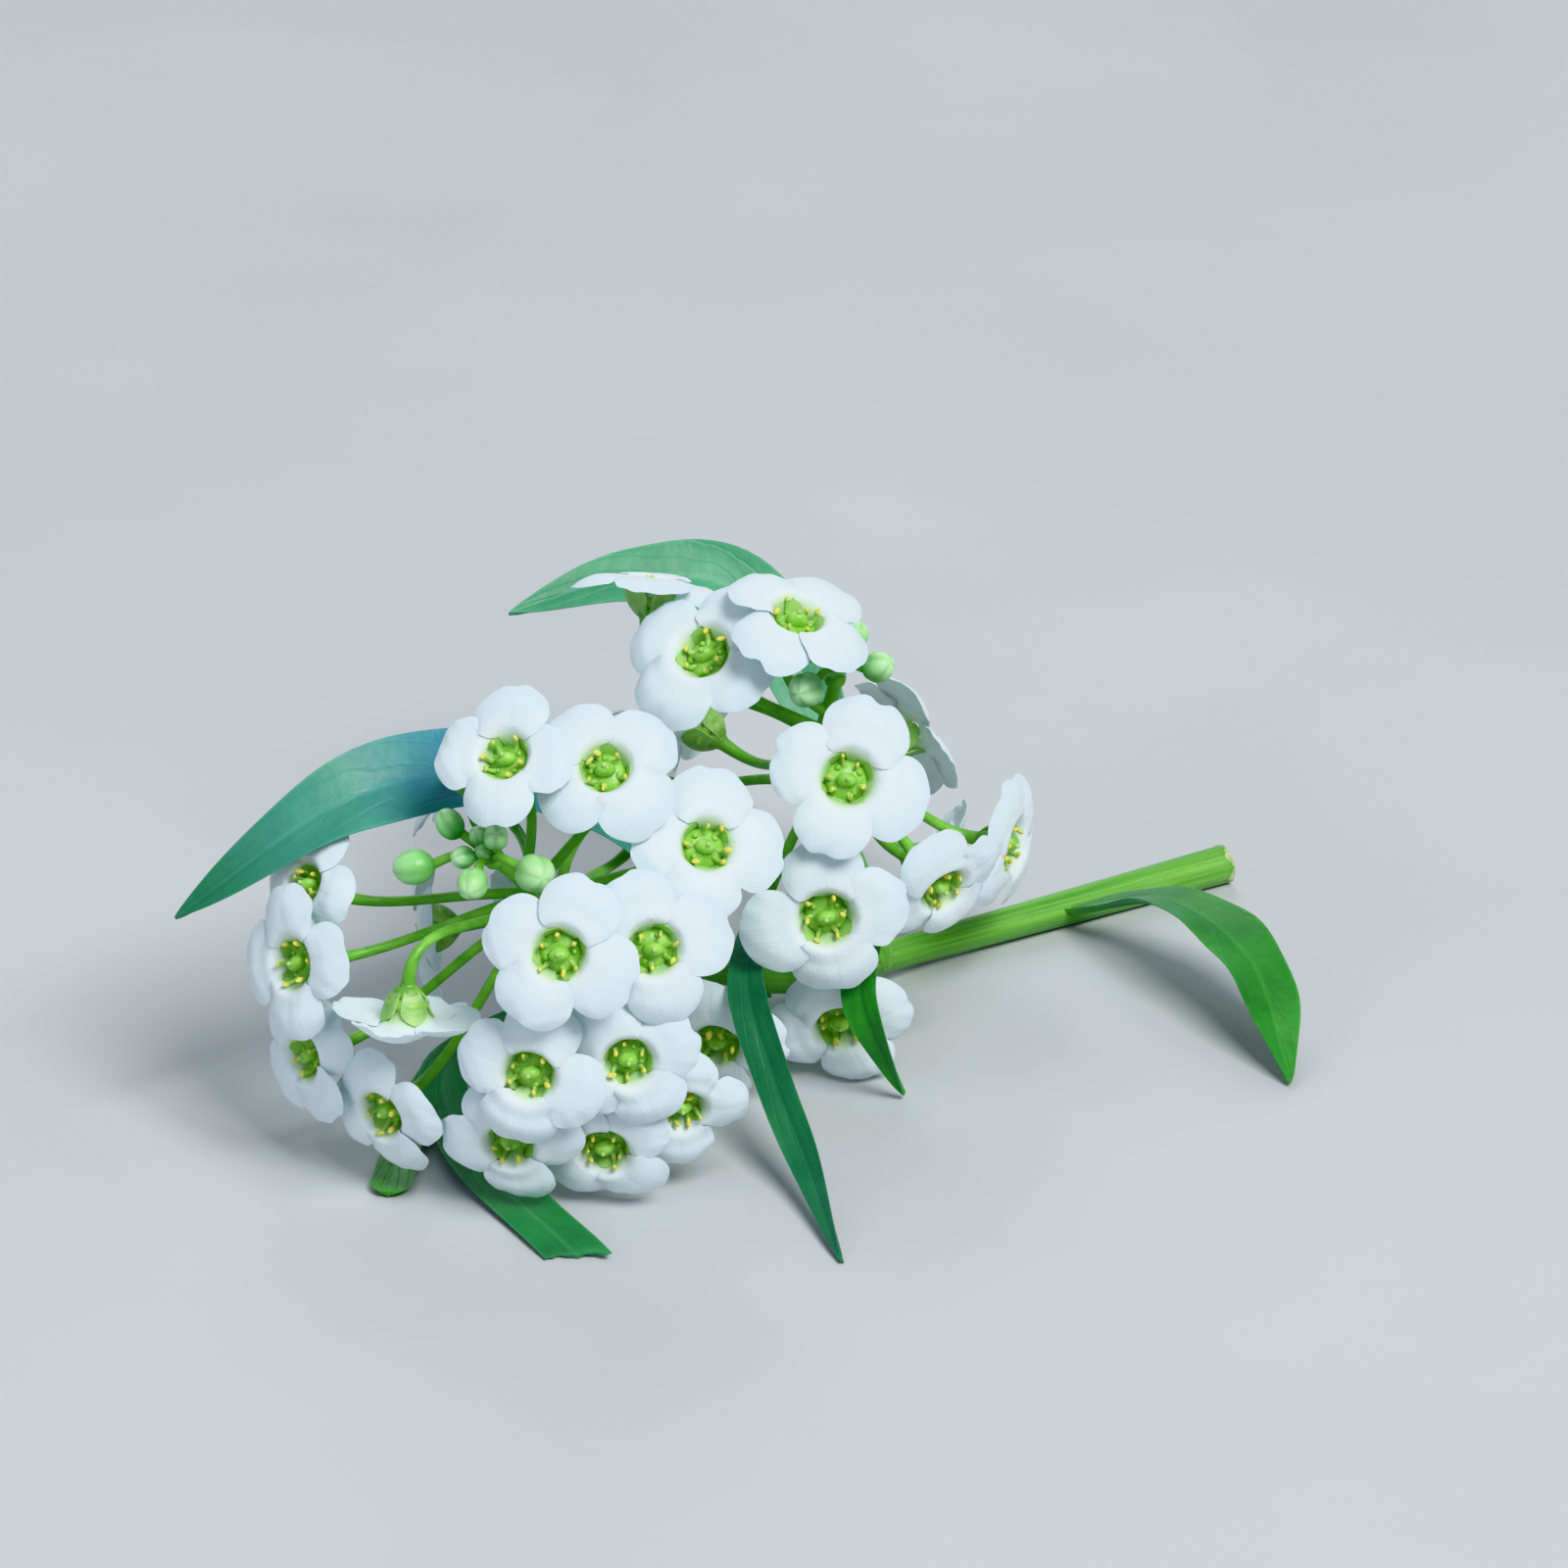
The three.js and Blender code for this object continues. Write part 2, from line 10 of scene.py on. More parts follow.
import bpy
import numpy as np
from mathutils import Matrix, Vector


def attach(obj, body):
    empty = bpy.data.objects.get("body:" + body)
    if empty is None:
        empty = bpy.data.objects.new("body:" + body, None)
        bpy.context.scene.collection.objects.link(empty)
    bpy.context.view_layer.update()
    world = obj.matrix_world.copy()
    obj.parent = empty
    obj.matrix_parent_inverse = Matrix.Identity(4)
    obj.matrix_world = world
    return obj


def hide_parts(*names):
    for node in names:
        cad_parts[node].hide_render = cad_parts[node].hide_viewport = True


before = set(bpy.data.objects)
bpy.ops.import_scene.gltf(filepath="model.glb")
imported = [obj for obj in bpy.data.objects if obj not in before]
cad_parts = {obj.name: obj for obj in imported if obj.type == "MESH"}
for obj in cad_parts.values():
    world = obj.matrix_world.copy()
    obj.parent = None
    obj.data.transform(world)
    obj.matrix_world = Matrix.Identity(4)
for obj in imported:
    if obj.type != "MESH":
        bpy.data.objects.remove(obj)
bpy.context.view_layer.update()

MM = 0.001
MICRON = 0.000001

# ---- Layout, in millimetres and degrees: the same values as in the CAD source ----

FOOTPRINT_MIDDLE = np.array([6.63, 4.58, 0.22])  # it becomes the row frame's origin
SOFTNESS = 0.35  # how far from the surface a petal or leaf starts to bend along it

# The stem from its cut end to the fork, then up into raceme a.
STEM = [(25, 19.5, 0.8), (19.5, 16.2, 0.85), (13.5, 12.4, 1.05), (8.3, 8.2, 1.8)]
FORK = (11.6, 11, 1.3)
STEM_CUT_RADIUS = 0.85
STEM_FORK_RADIUS = 0.72
AXIS_RADIUS = 0.42  # of a raceme's axis where the flowers leave it
AXIS_TIP_RADIUS = 0.25
AXIS_FROM = 0.72  # of the way along a stalk, where it has narrowed to AXIS_RADIUS
AXIS_TIP_FROM = 0.8  # and where it narrows on to its tip
RACEME_LENGTH = 8  # of the part of a stalk that carries flowers
HEART_TO_TIP = 4.6  # from a raceme's heart, where its lower pedicels meet, to its tip
PEDICEL_ROOTS = (0.2, 1.5)  # of it: from the tip to the topmost root, and how far roots spread
STALK_STATIONS = 40
SEAT_GAP = 0.06  # between a raceme's tip and its knot of buds

# By raceme: its heart, its axis, the points that its stalk passes and its first bud's bearing.
HEARTS = {"a": np.array([0, 0, 9.0]), "b": np.array([9.5, 9.8, 9.6])}
AXES = {"a": np.array([-0.48, -0.5, 0.685]), "b": np.array([0.1, -0.28, 0.96])}
PATHS = {"a": [*STEM, (4.4, 4.4, 4.6)], "b": [FORK, (10.8, 11.2, 4.6)]}
FIRST_BUDS = {"a": 295, "b": 0}

FULL_KNOT = 10
BUD_COUNTS = {"a": FULL_KNOT, "b": FULL_KNOT - 2}  # raceme b's two outermost have dropped
BUD_CORE_RADIUS = 0.42
BUD_CORE_SEAT = 0.85  # of that radius, from the knot's seat to the middle of its core
BUD_RADII = (0.34, 0.78)  # of the innermost and the outermost bud
BUD_STALKS = (0.9, 3.5)
BUD_SPREAD = (12, 76)  # from the raceme's axis
GOLDEN_ANGLE = 137.5

# Leaves as midribs from the stem to the tip, with the side that faces up at base and tip.
LEAVES = {
    "leaf_over_raceme_a": dict(
        finish="blue", width=3.7,
        midrib=[(6.8, 7, 2.8), (3.4, 6, 8.2), (-1.6, 3.4, 13), (-7.6, 0, 13.8), (-14.2, -1.8, 9.7)],
        up=[(0.3, -0.3, 0.9), (-0.25, -0.75, 0.6)],
    ),
    "leaf_front_right": dict(
        finish="deep", width=1.6,
        midrib=[
            (10, 9.9, 2.4), (7.4, 5.4, 6.2), (6.7, 0.8, 5.6),
            (7.7, -2.6, 3.4), (8.9, -5.8, 1.6), (10.1, -10.9, 0.3),
        ],
        up=[(-0.2, 0.1, 1), (-0.6, -0.2, 0.8)],
    ),
    "leaf_small_right": dict(
        finish="fresh", width=1.6,
        midrib=[(11, 10.6, 3.4), (11.5, 7, 5.3), (11.1, 3.3, 6.1), (10.9, 1.4, 4.6), (12.5, 1.5, 0.35)],
        up=[(0, -0.2, 1), (-0.5, -0.8, 0.3)],
    ),
    "leaf_with_torn_tip": dict(
        finish="mid", width=2.3, torn="slanted",
        midrib=[(3.6, 4, 4.8), (-0.6, 4.4, 2.8), (-4.4, 1.6, 1.8), (-3.6, -3, 0.9), (0.6, -10.5, 0.3)],
        up=[(0, 0, 1), (-0.1, -0.2, 1)],
    ),
    "leaf_low_left": dict(
        finish="grass", width=1.6, torn="blunt",
        midrib=[(7.6, 7.6, 1.8), (2, 7.2, 1), (-4, 4.4, 0.6), (-5.7, -1, 0.45), (-6.4, -5.9, 0.4)],
        up=[(0, 0, 1), (0, 0, 1)],
    ),
    "leaf_behind_raceme_b": dict(
        finish="soft", width=3.2,
        midrib=[(10.3, 12.2, 2.8), (9.6, 15.6, 8.6), (6.6, 18.4, 13), (2.4, 18.4, 13.7), (-2.3, 17, 12.9)],
        up=[(0, -0.7, 0.7), (0, -0.6, 0.8)],
    ),
    "leaf_low_on_stem": dict(
        finish="fresh", width=3.2,
        midrib=[(18.6, 15.4, 1), (22.6, 11.8, 3.4), (25.6, 7.6, 3), (27, 2.6, 0.4)],
        up=[(-0.3, 0.2, 1), (0.3, 0.2, 1)],
    ),
}

# The CAD rosette, on which a flower's place is measured: two outer rings that follow its four
# round blades, and a ring at each of the inner heights.
ROSETTE_REACH = 3.0  # of its petals at full size
ROSETTE_LIMB = (1.45, 1.55)  # a blade's radius, and how far its middle is from the flower's
ROSETTE_DROOP = 0.3
ROSETTE_THICKNESS = 0.2
ROSETTE_INNER_HEIGHTS = (-0.3, 0.05, 0.45)
ROSETTE_STEPS = 20  # points in a ring
ROSETTE_RIM_FROM = 0.6  # of its reach: only points beyond this show how it is turned
ALMOST_UP = (0, 0.05, 1)  # never along a flower's facing

# ---- Finer shapes, in millimetres ----

SHARP_ANGLE = math.radians(58)  # between two faces, from which their edge isn't smoothed
OFF_ALL_STALKS = (0.31, 0.52, 0.79)  # a direction that no stalk or stamen starts along
TUBE_CAP_TURNS = (0.6, 1.1)  # round a tube's end, in radians
BALL_POLE = 0.02  # of a ball's radius: the flat spot on its poles

STALK_SIDES = 30
STEM_STEPS = {"a": 70, "b": 24}
RIDGES = 5
# Rings of the stem's cut face: each one's share of the radius, its height and its tone.
CUT_RINGS = [
    (0.9, -0.3, 0), (0.985, -0.02, 0), (0.94, 0.05, 1),
    (0.8, 0.03, 0.6), (0.5, -0.02, 0.2), (0.1, 0, 0.5),
]
CUT_ROUGHNESS = 0.02
CUT_SURFACE = -0.2  # rings below it lie inside the stem and stay even

RIM_THINNING = 0.75  # of a petal's and a leaf's thickness
PETAL_FOOT = 0.6  # from the flower's middle to the foot of the claw
PETAL_TIP = 3.05
PETAL_HALF_WIDTH = 1.62
PETAL_HUB = (1.8, 0.0)  # inside the blade, where its rings of points close
# Half of a petal's outline, from the foot of its claw round the throat's edge to its tip.
PETAL_SIDE = [
    (0.6, 0.14), (0.72, 0.27), (0.84, 0.37), (0.87, 0.5), (0.77, 0.64), (0.72, 0.82),
    (0.9, 1.2), (1.42, 1.52), (1.9, 1.6), (2.38, 1.43), (2.8, 1.0), (3.03, 0.48),
]
PETAL_NOTCH = 0.1  # how far the middle of the tip is drawn in
PETAL_THICKNESS = 0.09
THROAT_RADIUS = 1.3  # where the blades bend down into the throat
THROAT_RIM = 0.14  # the blades' height there
THROAT_DEPTH = 1.05  # from the rim to the foot of a claw
PETAL_DROOP = 0.42  # of the tip
PETAL_ARCH = 0.08  # halfway from the throat to the tip
BLADE_FROM = 1.1  # from the flower's middle to where a blade's own bends begin
BLADE_FULL = 1.8  # and to where they are at full strength
PETAL_CUP = 0.16  # how far the blade's sides hang
PETAL_CURL = 0.08  # and its very rim
VALLEY_PLACE = 1.8  # from the flower's middle to a valley across the blade
VALLEY_WIDTH = 0.36
GROOVE_DEPTH = 0.03  # of the groove along the blade
GROOVE_WIDTH = 0.22
FINE_RIPPLE = 0.03  # of the rim, over its longer waves
# The limits of each petal's own bends, in the order of their draws.
PETAL_BENDS = dict(
    droop=(-0.15, 0.2), cup=(-0.08, 0.16), valley=(-0.02, 0.1),
    waves=(2.0, 3.6), ripple=(0.02, 0.09), phase=(0, 6),
)
PETAL_OVERLAP = 0.06  # two petals stand this much above the rosette's, two below
PETAL_RINGS = 13
PETAL_OUTLINE = 46

# Places in a flower are distances out from its axis and up from its middle.
FLOOR_HEIGHT = -0.74
FLOOR_RADII = (0.82, 0.82, 0.34)
GLAND_PLACE = (0.55, -0.46)
GLAND_RADII = (0.12, 0.12, 0.1)
POD_HEIGHT = -0.3
POD_RADII = (0.4, 0.27)
STYLE_OVER_POD = 0.02
STYLE_RADII = (0.1, 0.1, 0.12)
STAMENS = 6
STAMEN_FOOT = (0.42, -0.6)
STAMEN_KNEE = (0.7, -0.4)
FILAMENT_RADII = (0.13, 0.05)
ANTHER_RADII = (0.08, 0.11, 0.17)

CALYX_FOOT = -1.46
# The seat inside the sepals: balls with height over the foot, radii, tone and rings.
CALYX_BALLS = (
    (0.12, (0.34, 0.34, 0.26), 0.4, 6),
    (0.44, (0.58, 0.58, 0.44), 0.6, 8),
)
SEPAL_FOOT = 0.2  # from the flower's axis to the sepal's foot
SEPAL_BELLY = 0.82  # to its belly
SEPAL_REACH = 1.1  # and to its tip
SEPAL_BELLY_AT = 0.6  # along it
SEPAL_FLARE_FROM = 0.45
SEPAL_TOP_DEPTH = 0.16
SEPAL_HALF_WIDTHS = (0.16, 0.56, 0.12)  # at its foot, where it's widest and at its tip
SEPAL_WIDEST = 0.62
SEPAL_HOLLOW = 0.42
SEPAL_EDGE_RISE = 0.16
PEDICEL_RADIUS = 0.19
PEDICEL_SWELLS = (0.35, 0.5)  # at its root and its neck
PEDICEL_BOW = 0.4  # of the way from root to neck

BUD_LENGTHENING = 1.16
BUD_STALK_RADII = (0.15, 0.19)
BUD_SEAM_DEPTH = 0.1

LEAF_THICKNESS = 0.17
LEAF_KEEL = 0.12  # how much thicker the midrib is
LEAF_KEEL_WIDTH = 0.14  # of the half width
LEAF_FOLD = 0.14
LEAF_RIPPLE = 0.05  # of the half width
LEAF_MARGIN_WAVE = 0.03
LEAF_GROOVE = 0.05
LEAF_GROOVE_WIDTH = 0.12
LEAF_WIDEST = 0.58
LEAF_STALK = 0.14
LEAF_SUNK = 0.1  # of a leaf's base, into its stalk
BLADE_SHARE = 0.92  # of the CAD leaf's width: ripples take the rest
TORN_BASE = 0.16  # of the half width, at the base of a torn leaf
TORN_WIDEST = 0.75
TORN_SLANT = 0.56  # from a torn end's middle forward or back to its corners, by the half width
TORN_TEETH = (0.07, 0.04)  # how long broad and fine teeth are
TORN_BOW = 0.16
BLUNT_FROM = 0.972  # along a blunt leaf, where its end starts to round off
BLUNT_NARROWING = 0.55
LEAF_ROWS = 72
LEAF_COLUMNS = 21

# ---- Camera ----

IMAGE_SIDE = 1600
MM_PER_PIXEL = 0.036
CAMERA_ELEVATION = 27  # as in the photograph
CAMERA_DISTANCE = 450
SENSOR = 36
HEART_A_PIXEL = (575, 930)  # where raceme a's heart lies in the image


# ---- Vectors and curves ----


def unit(v):
    v = np.asarray(v, float)
    return v / np.linalg.norm(v)


def hump(distance, width):
    """A smooth hump, 1 high where the distance is 0, that dies away beyond its width."""
    return np.exp(-((distance / width) ** 2))


def past(t, start):
    """How far t is past a start, by the way from there to 1."""
    return np.clip((t - start) / (1 - start), 0, 1)


def widening(t, until):
    """A quarter of a sine: it grows from 0 to 1 until the given place and stays there."""
    return np.sin(np.minimum(1, t / until) * math.pi / 2)


def around(count):
    """Angles all round."""
    return np.arange(count) * 2 * math.pi / count


def turned(points, turn):
    """Points turned about +Z."""
    c, s = math.cos(turn), math.sin(turn)
    return points @ np.array([[c, s, 0], [-s, c, 0], [0, 0, 1]])


def bearing(turn, rise):
    """The direction at a turn from +X towards +Y and a rise over the horizon, in degrees."""
    turn, rise = math.radians(turn), math.radians(rise)
    flat = math.cos(rise)
    return np.array([math.cos(turn) * flat, math.sin(turn) * flat, math.sin(rise)])


def turned_from_z(direction):
    """The matrix that turns +Z to a direction by the shortest way."""
    z, d = np.array([0, 0, 1.0]), unit(direction)
    v, c = np.cross(z, d), float(z @ d)
    if c < -0.9999:
        return np.diag([1.0, -1.0, -1.0])
    k = np.array([[0, -v[2], v[1]], [v[2], 0, -v[0]], [-v[1], v[0], 0]])
    return np.eye(3) + k + k @ k / (1 + c)


class Curve:
    """A centripetal Catmull-Rom curve through points, followed by its length from 0 to 1."""

    def __init__(self, points, fineness=48):
        p = [np.asarray(q, float) for q in points]
        p = [2 * p[0] - p[1], *p, 2 * p[-1] - p[-2]]
        samples = []
        for a, b, c, d in zip(p, p[1:], p[2:], p[3:]):
            steps = [max(np.linalg.norm(w - v) ** 0.5, 1e-6) for v, w in ((a, b), (b, c), (c, d))]
            leave = (b - a) / steps[0] - (c - a) / (steps[0] + steps[1]) + (c - b) / steps[1]
            reach = (c - b) / steps[1] - (d - b) / (steps[1] + steps[2]) + (d - c) / steps[2]
            samples += hermite(b, c, leave * steps[1], reach * steps[1], fineness)
        self.points = np.array([*samples, p[-2]])
        spans = np.linalg.norm(np.diff(self.points, axis=0), axis=1)
        self.lengths = np.concatenate([[0], np.cumsum(spans)])
        self.length = self.lengths[-1]

    def at(self, t):
        s = np.clip(t, 0, 1) * self.length
        return np.array([np.interp(s, self.lengths, self.points[:, k]) for k in range(3)]).T

    def tangent(self, t):
        step = 0.004
        return unit(self.at(min(1, t + step)) - self.at(max(0, t - step)))


def hermite(start, end, leave, reach, fineness):
    s = np.linspace(0, 1, fineness, endpoint=False)[:, None]
    h = (2 * s**3 - 3 * s**2 + 1) * start + (s**3 - 2 * s**2 + s) * leave
    return list(h + (-2 * s**3 + 3 * s**2) * end + (s**3 - s**2) * reach)


# ---- Placing ----


def placed(points):
    """Layout points, settled on the surface, in metres in the row frame."""
    p = np.array(points, float).reshape(-1, 3)
    p[:, 2] = SOFTNESS * np.logaddexp(0, p[:, 2] / SOFTNESS)
    return (p - FOOTPRINT_MIDDLE) * MM


def layout_points(node):
    """A CAD node's distinct vertices, back in the layout frame."""
    p = np.array([v.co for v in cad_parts[node].data.vertices], float) / MM
    p += FOOTPRINT_MIDDLE
    p[:, 2] = SOFTNESS * np.log(np.expm1(np.maximum(p[:, 2], 1e-3) / SOFTNESS))
    _, first = np.unique(np.round(p, 3), axis=0, return_index=True)
    return p[first]


class Flower:
    """An open flower's middle, axes and size, measured on its CAD rosette."""

    def __init__(self, name):
        self.name = name
        self.node = "petals_" + name
        self.letter = name[0]
        points = layout_points(self.node)
        centre = points.mean(0)
        _, _, spread = np.linalg.svd(points - centre)
        facing = spread[2]
        heights = (points - centre) @ facing
        from_axis = np.linalg.norm((points - centre) - np.outer(heights, facing), axis=1)
        innermost = np.argsort(from_axis)[:ROSETTE_STEPS]
        if heights[innermost].mean() < 0:
            facing = -facing
        self.z = facing
        self.middle = centre - facing * self.mean_height()
        level = unit(np.cross(ALMOST_UP, facing))
        upward = np.cross(facing, level)
        rim = from_axis > from_axis.max() * ROSETTE_RIM_FROM
        arms = points[rim] - self.middle
        turns = np.arctan2(arms @ upward, arms @ level)
        roll = np.angle(np.sum(from_axis[rim] * np.exp(4j * turns))) / 4
        x = level * math.cos(roll) + upward * math.sin(roll)
        self.axes = np.array([x, np.cross(facing, x), facing])
        self.size = from_axis.max() / ROSETTE_REACH

    @staticmethod
    def mean_height():
        """Of the rosette's points over the flower's middle: droop is an outer ring's mean height."""
        radius, offset = ROSETTE_LIMB
        off = around(ROSETTE_STEPS) % (math.pi / 2) - math.pi / 4
        reach = offset * np.cos(off) + np.sqrt(radius**2 - (offset * np.sin(off)) ** 2)
        droop = -ROSETTE_DROOP * np.mean((reach / (radius + offset)) ** 2)
        rings = len(ROSETTE_INNER_HEIGHTS) + 2
        return (sum(ROSETTE_INNER_HEIGHTS) + 2 * droop - ROSETTE_THICKNESS) / rings

    def to_layout(self, local):
        """Points of the flower's own frame, in which it faces +Z, in the layout frame."""
        p = np.array(local, float).reshape(-1, 3)
        return self.middle + (p * [self.size, self.size, 1]) @ self.axes


# ---- Building meshes ----


def new_object(name, data):
    made = bpy.data.objects.new(name, data)
    bpy.context.scene.collection.objects.link(made)
    return made


class Shape:
    """Gathers vertices and faces, each vertex with the numbers that its material reads."""

    FIELDS = ("along", "across", "tone")

    def __init__(self):
        self.points = []
        self.faces = []
        self.kinds = []
        self.fields = {field: [] for field in self.FIELDS}

    def add(self, points, faces, kind=0, **fields):
        start = len(self.points)
        self.points.extend(np.asarray(points, float).reshape(-1, 3))
        self.faces.extend([tuple(start + i for i in face) for face in faces])
        self.kinds.extend([kind] * len(faces))
        count = len(self.points) - start
        for field in self.FIELDS:
            self.fields[field].extend(np.broadcast_to(fields.get(field, 0.5), count))

    def piece(self, name, materials, replaced=()):
        mesh = bpy.data.meshes.new(name)
        mesh.from_pydata([tuple(p) for p in placed(self.points)], [], self.faces)
        mesh.validate()
        for material in materials:
            mesh.materials.append(material)
        mesh.polygons.foreach_set("material_index", self.kinds)
        mesh.polygons.foreach_set("use_smooth", [True] * len(self.faces))
        mesh.set_sharp_from_angle(angle=SHARP_ANGLE)
        for field, values in self.fields.items():
            attribute = mesh.attributes.new(field, "FLOAT", "POINT")
            attribute.data.foreach_set("value", np.array(values, np.float32))
        obj = new_object(name, mesh)
        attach(obj, "root")
        if replaced:
            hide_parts(*replaced)


def ring_faces(rings, sides, closed=True):
    """Quads between rings of equally many points."""
    faces = []
    for k in range(rings - 1):
        for i in range(sides if closed else sides - 1):
            a, b = k * sides + i, k * sides + (i + 1) % sides
            faces.append((a, b, b + sides, a + sides))
    return faces


def closed_faces(rings, sides):
    """Quads between rings of equally many points, and a face on each end."""
    last = (rings - 1) * sides
    ends = [tuple(reversed(range(sides))), tuple(range(last, last + sides))]
    return ring_faces(rings, sides) + ends


def tube(shape, path, radii, sides=10, section=None, kind=0, tone=0.5, flat_start=False):
    """A closed tube along path points. section gives each side's share of the radius."""
    path = np.asarray(path, float)
    radii = np.broadcast_to(np.asarray(radii, float), len(path)).copy()
    tangents = np.gradient(path, axis=0)
    tangents /= np.linalg.norm(tangents, axis=1)[:, None]
    across = unit(np.cross(tangents[0], OFF_ALL_STALKS))
    shares = np.ones(sides) if section is None else section
    turns = around(sides)
    rings, along = [], []
    for k, (centre, tangent) in enumerate(zip(path, tangents)):
        across = unit(across - tangent * (across @ tangent))
        over = np.cross(tangent, across)
        arms = np.outer(np.cos(turns) * shares, across) + np.outer(np.sin(turns) * shares, over)
        rings.append(centre + radii[k] * arms)
        along.append(np.full(sides, k / (len(path) - 1)))
    for end, sign in ((0, -1), (-1, 1)):
        if end == 0 and flat_start:
            continue
        centre, out = path[end], sign * tangents[end] * radii[end]
        arms = rings[end] - centre
        caps = [centre + arms * math.cos(a) + out * math.sin(a) for a in TUBE_CAP_TURNS]
        if end == 0:
            rings[:0], along[:0] = caps[::-1], [along[0]] * 2
        else:
            rings += caps
            along += [along[-1]] * 2
    faces = closed_faces(len(rings), sides)
    across = np.tile(np.abs(turns - math.pi) / math.pi, len(rings))
    shape.add(np.vstack(rings), faces, kind, along=np.concatenate(along), across=across, tone=tone)


def ball(shape, centre, axes, radii, kind=0, tone=0.5, sides=14, rings=9, dent=None):
    """An ellipsoid whose poles lie on the third axis. dent gives shares of its radius by turn and
    height, and the field across is 1 on four seams that run from pole to pole."""
    turns = around(sides)
    points, along = [], []
    for k in range(rings + 1):
        rise = math.pi * (k / rings - 0.5)
        scale = np.ones(sides) if dent is None else dent(turns, math.sin(rise))
        rim = max(math.cos(rise), BALL_POLE) * scale
        local = np.column_stack([rim * np.cos(turns), rim * np.sin(turns), np.full(sides, math.sin(rise))])
        points.append(centre + local * radii @ axes)
        along.append(np.full(sides, k / rings))
    faces = closed_faces(rings + 1, sides)
    across = np.tile(np.abs(np.cos(2 * turns)) ** 6, rings + 1)
    shape.add(np.vstack(points), faces, kind, along=np.concatenate(along), across=across, tone=tone)


def sheet_faces(rows, columns):
    """Quads of a closed sheet: its upper grid, its lower grid and the rim between them."""
    top = ring_faces(rows, columns, closed=False)
    under = rows * columns
    faces = top + [tuple(under + i for i in reversed(face)) for face in top]
    rim = list(range(columns))
    rim += [k * columns + columns - 1 for k in range(1, rows)]
    rim += [(rows - 1) * columns + i for i in range(columns - 2, -1, -1)]
    rim += [k * columns for k in range(rows - 2, 0, -1)]
    faces += [(b, a, a + under, b + under) for a, b in zip(rim, rim[1:] + rim[:1])]
    return faces


# ---- Materials ----

# The steps of a ramp that masks one colour with another.
ON = (1, 1, 1)
OFF = (0, 0, 0)
CELLS = 6000.0  # fine cells of soft tissue, as the scale of a noise
SPREAD_IN_WHITE = (0.8, 0.9, 1.0)  # of red, green and blue light under the skin
SPREAD_IN_GREEN = (0.5, 1.0, 0.3)
SPREAD_IN_LEAF = (0.4, 1.0, 0.3)
LEAF_BASE = (0.1, 0.36, 0.05)
DARK_TIP = (0.008, 0.13, 0.04)


class Finish:
    """A Principled material and short ways to drive it by procedural nodes."""

    def __init__(self, name, **values):
        self.material = bpy.data.materials.new(name)
        self.material.use_nodes = True
        self.tree = self.material.node_tree
        self.shader = self.tree.nodes["Principled BSDF"]
        for socket, value in values.items():
            self.shader.inputs[socket.replace("_", " ")].default_value = value

    def feed(self, socket, value):
        if isinstance(value, bpy.types.NodeSocket):
            self.tree.links.new(value, socket)
        else:
            socket.default_value = value

    def node(self, kind, **inputs):
        made = self.tree.nodes.new(kind)
        for name, value in inputs.items():
            self.feed(made.inputs[name.replace("_", " ")], value)
        return made

    def field(self, name):
        made = self.node("ShaderNodeAttribute")
        made.attribute_name = name
        return made.outputs["Fac"]

    def math(self, operation, a, b=0.0):
        made = self.node("ShaderNodeMath")
        made.operation = operation
        self.feed(made.inputs[0], a)
        self.feed(made.inputs[1], b)
        return made.outputs[0]

    def noise(self, scale, detail=3.0, vector=None, roughness=0.5):
        if vector is None:
            vector = self.node("ShaderNodeTexCoord").outputs["Object"]
        values = dict(Scale=scale, Detail=detail, Roughness=roughness)
        return self.node("ShaderNodeTexNoise", Vector=vector, **values).outputs["Fac"]

    def ramp(self, factor, *stops):
        made = self.node("ShaderNodeValToRGB", Fac=factor)
        elements = made.color_ramp.elements
        while len(elements) < len(stops):
            elements.new(0.5)
        for element, (place, colour) in zip(elements, stops):
            element.position = place
            element.color = (*colour, 1)
        return made.outputs["Color"]

    def mix(self, mask, share, under, over):
        """A colour laid over another, to the given share where the mask is 1."""
        factor = self.math("MULTIPLY", mask, share)
        made = self.node("ShaderNodeMix")
        made.data_type = "RGBA"
        sockets = [s for s in made.inputs if s.enabled]
        for socket, value in zip(sockets, (factor, under, over)):
            self.feed(socket, (*value, 1) if isinstance(value, tuple) else value)
        return next(s for s in made.outputs if s.enabled)

    def combine(self, x, y, z):
        return self.node("ShaderNodeCombineXYZ", X=x, Y=y, Z=z).outputs[0]

    def colour(self, value):
        self.feed(self.shader.inputs["Base Color"], value)

    def rough(self, factor, low, high):
        made = self.node("ShaderNodeMapRange", Value=factor, To_Min=low, To_Max=high)
        self.feed(self.shader.inputs["Roughness"], made.outputs[0])

    def bump(self, *layers):
        """Each layer is (height socket, depth in metres)."""
        normal = None
        for height, depth in layers:
            made = self.node("ShaderNodeBump", Height=height, Strength=1.0, Distance=depth)
            if normal is not None:
                self.feed(made.inputs["Normal"], normal)
            normal = made.outputs["Normal"]
        self.feed(self.shader.inputs["Normal"], normal)


def under_skin(weight, depth, spread):
    """How much light spreads under the skin, how deep in millimetres and how by colour."""
    return dict(Subsurface_Weight=weight, Subsurface_Scale=depth * MM, Subsurface_Radius=spread)


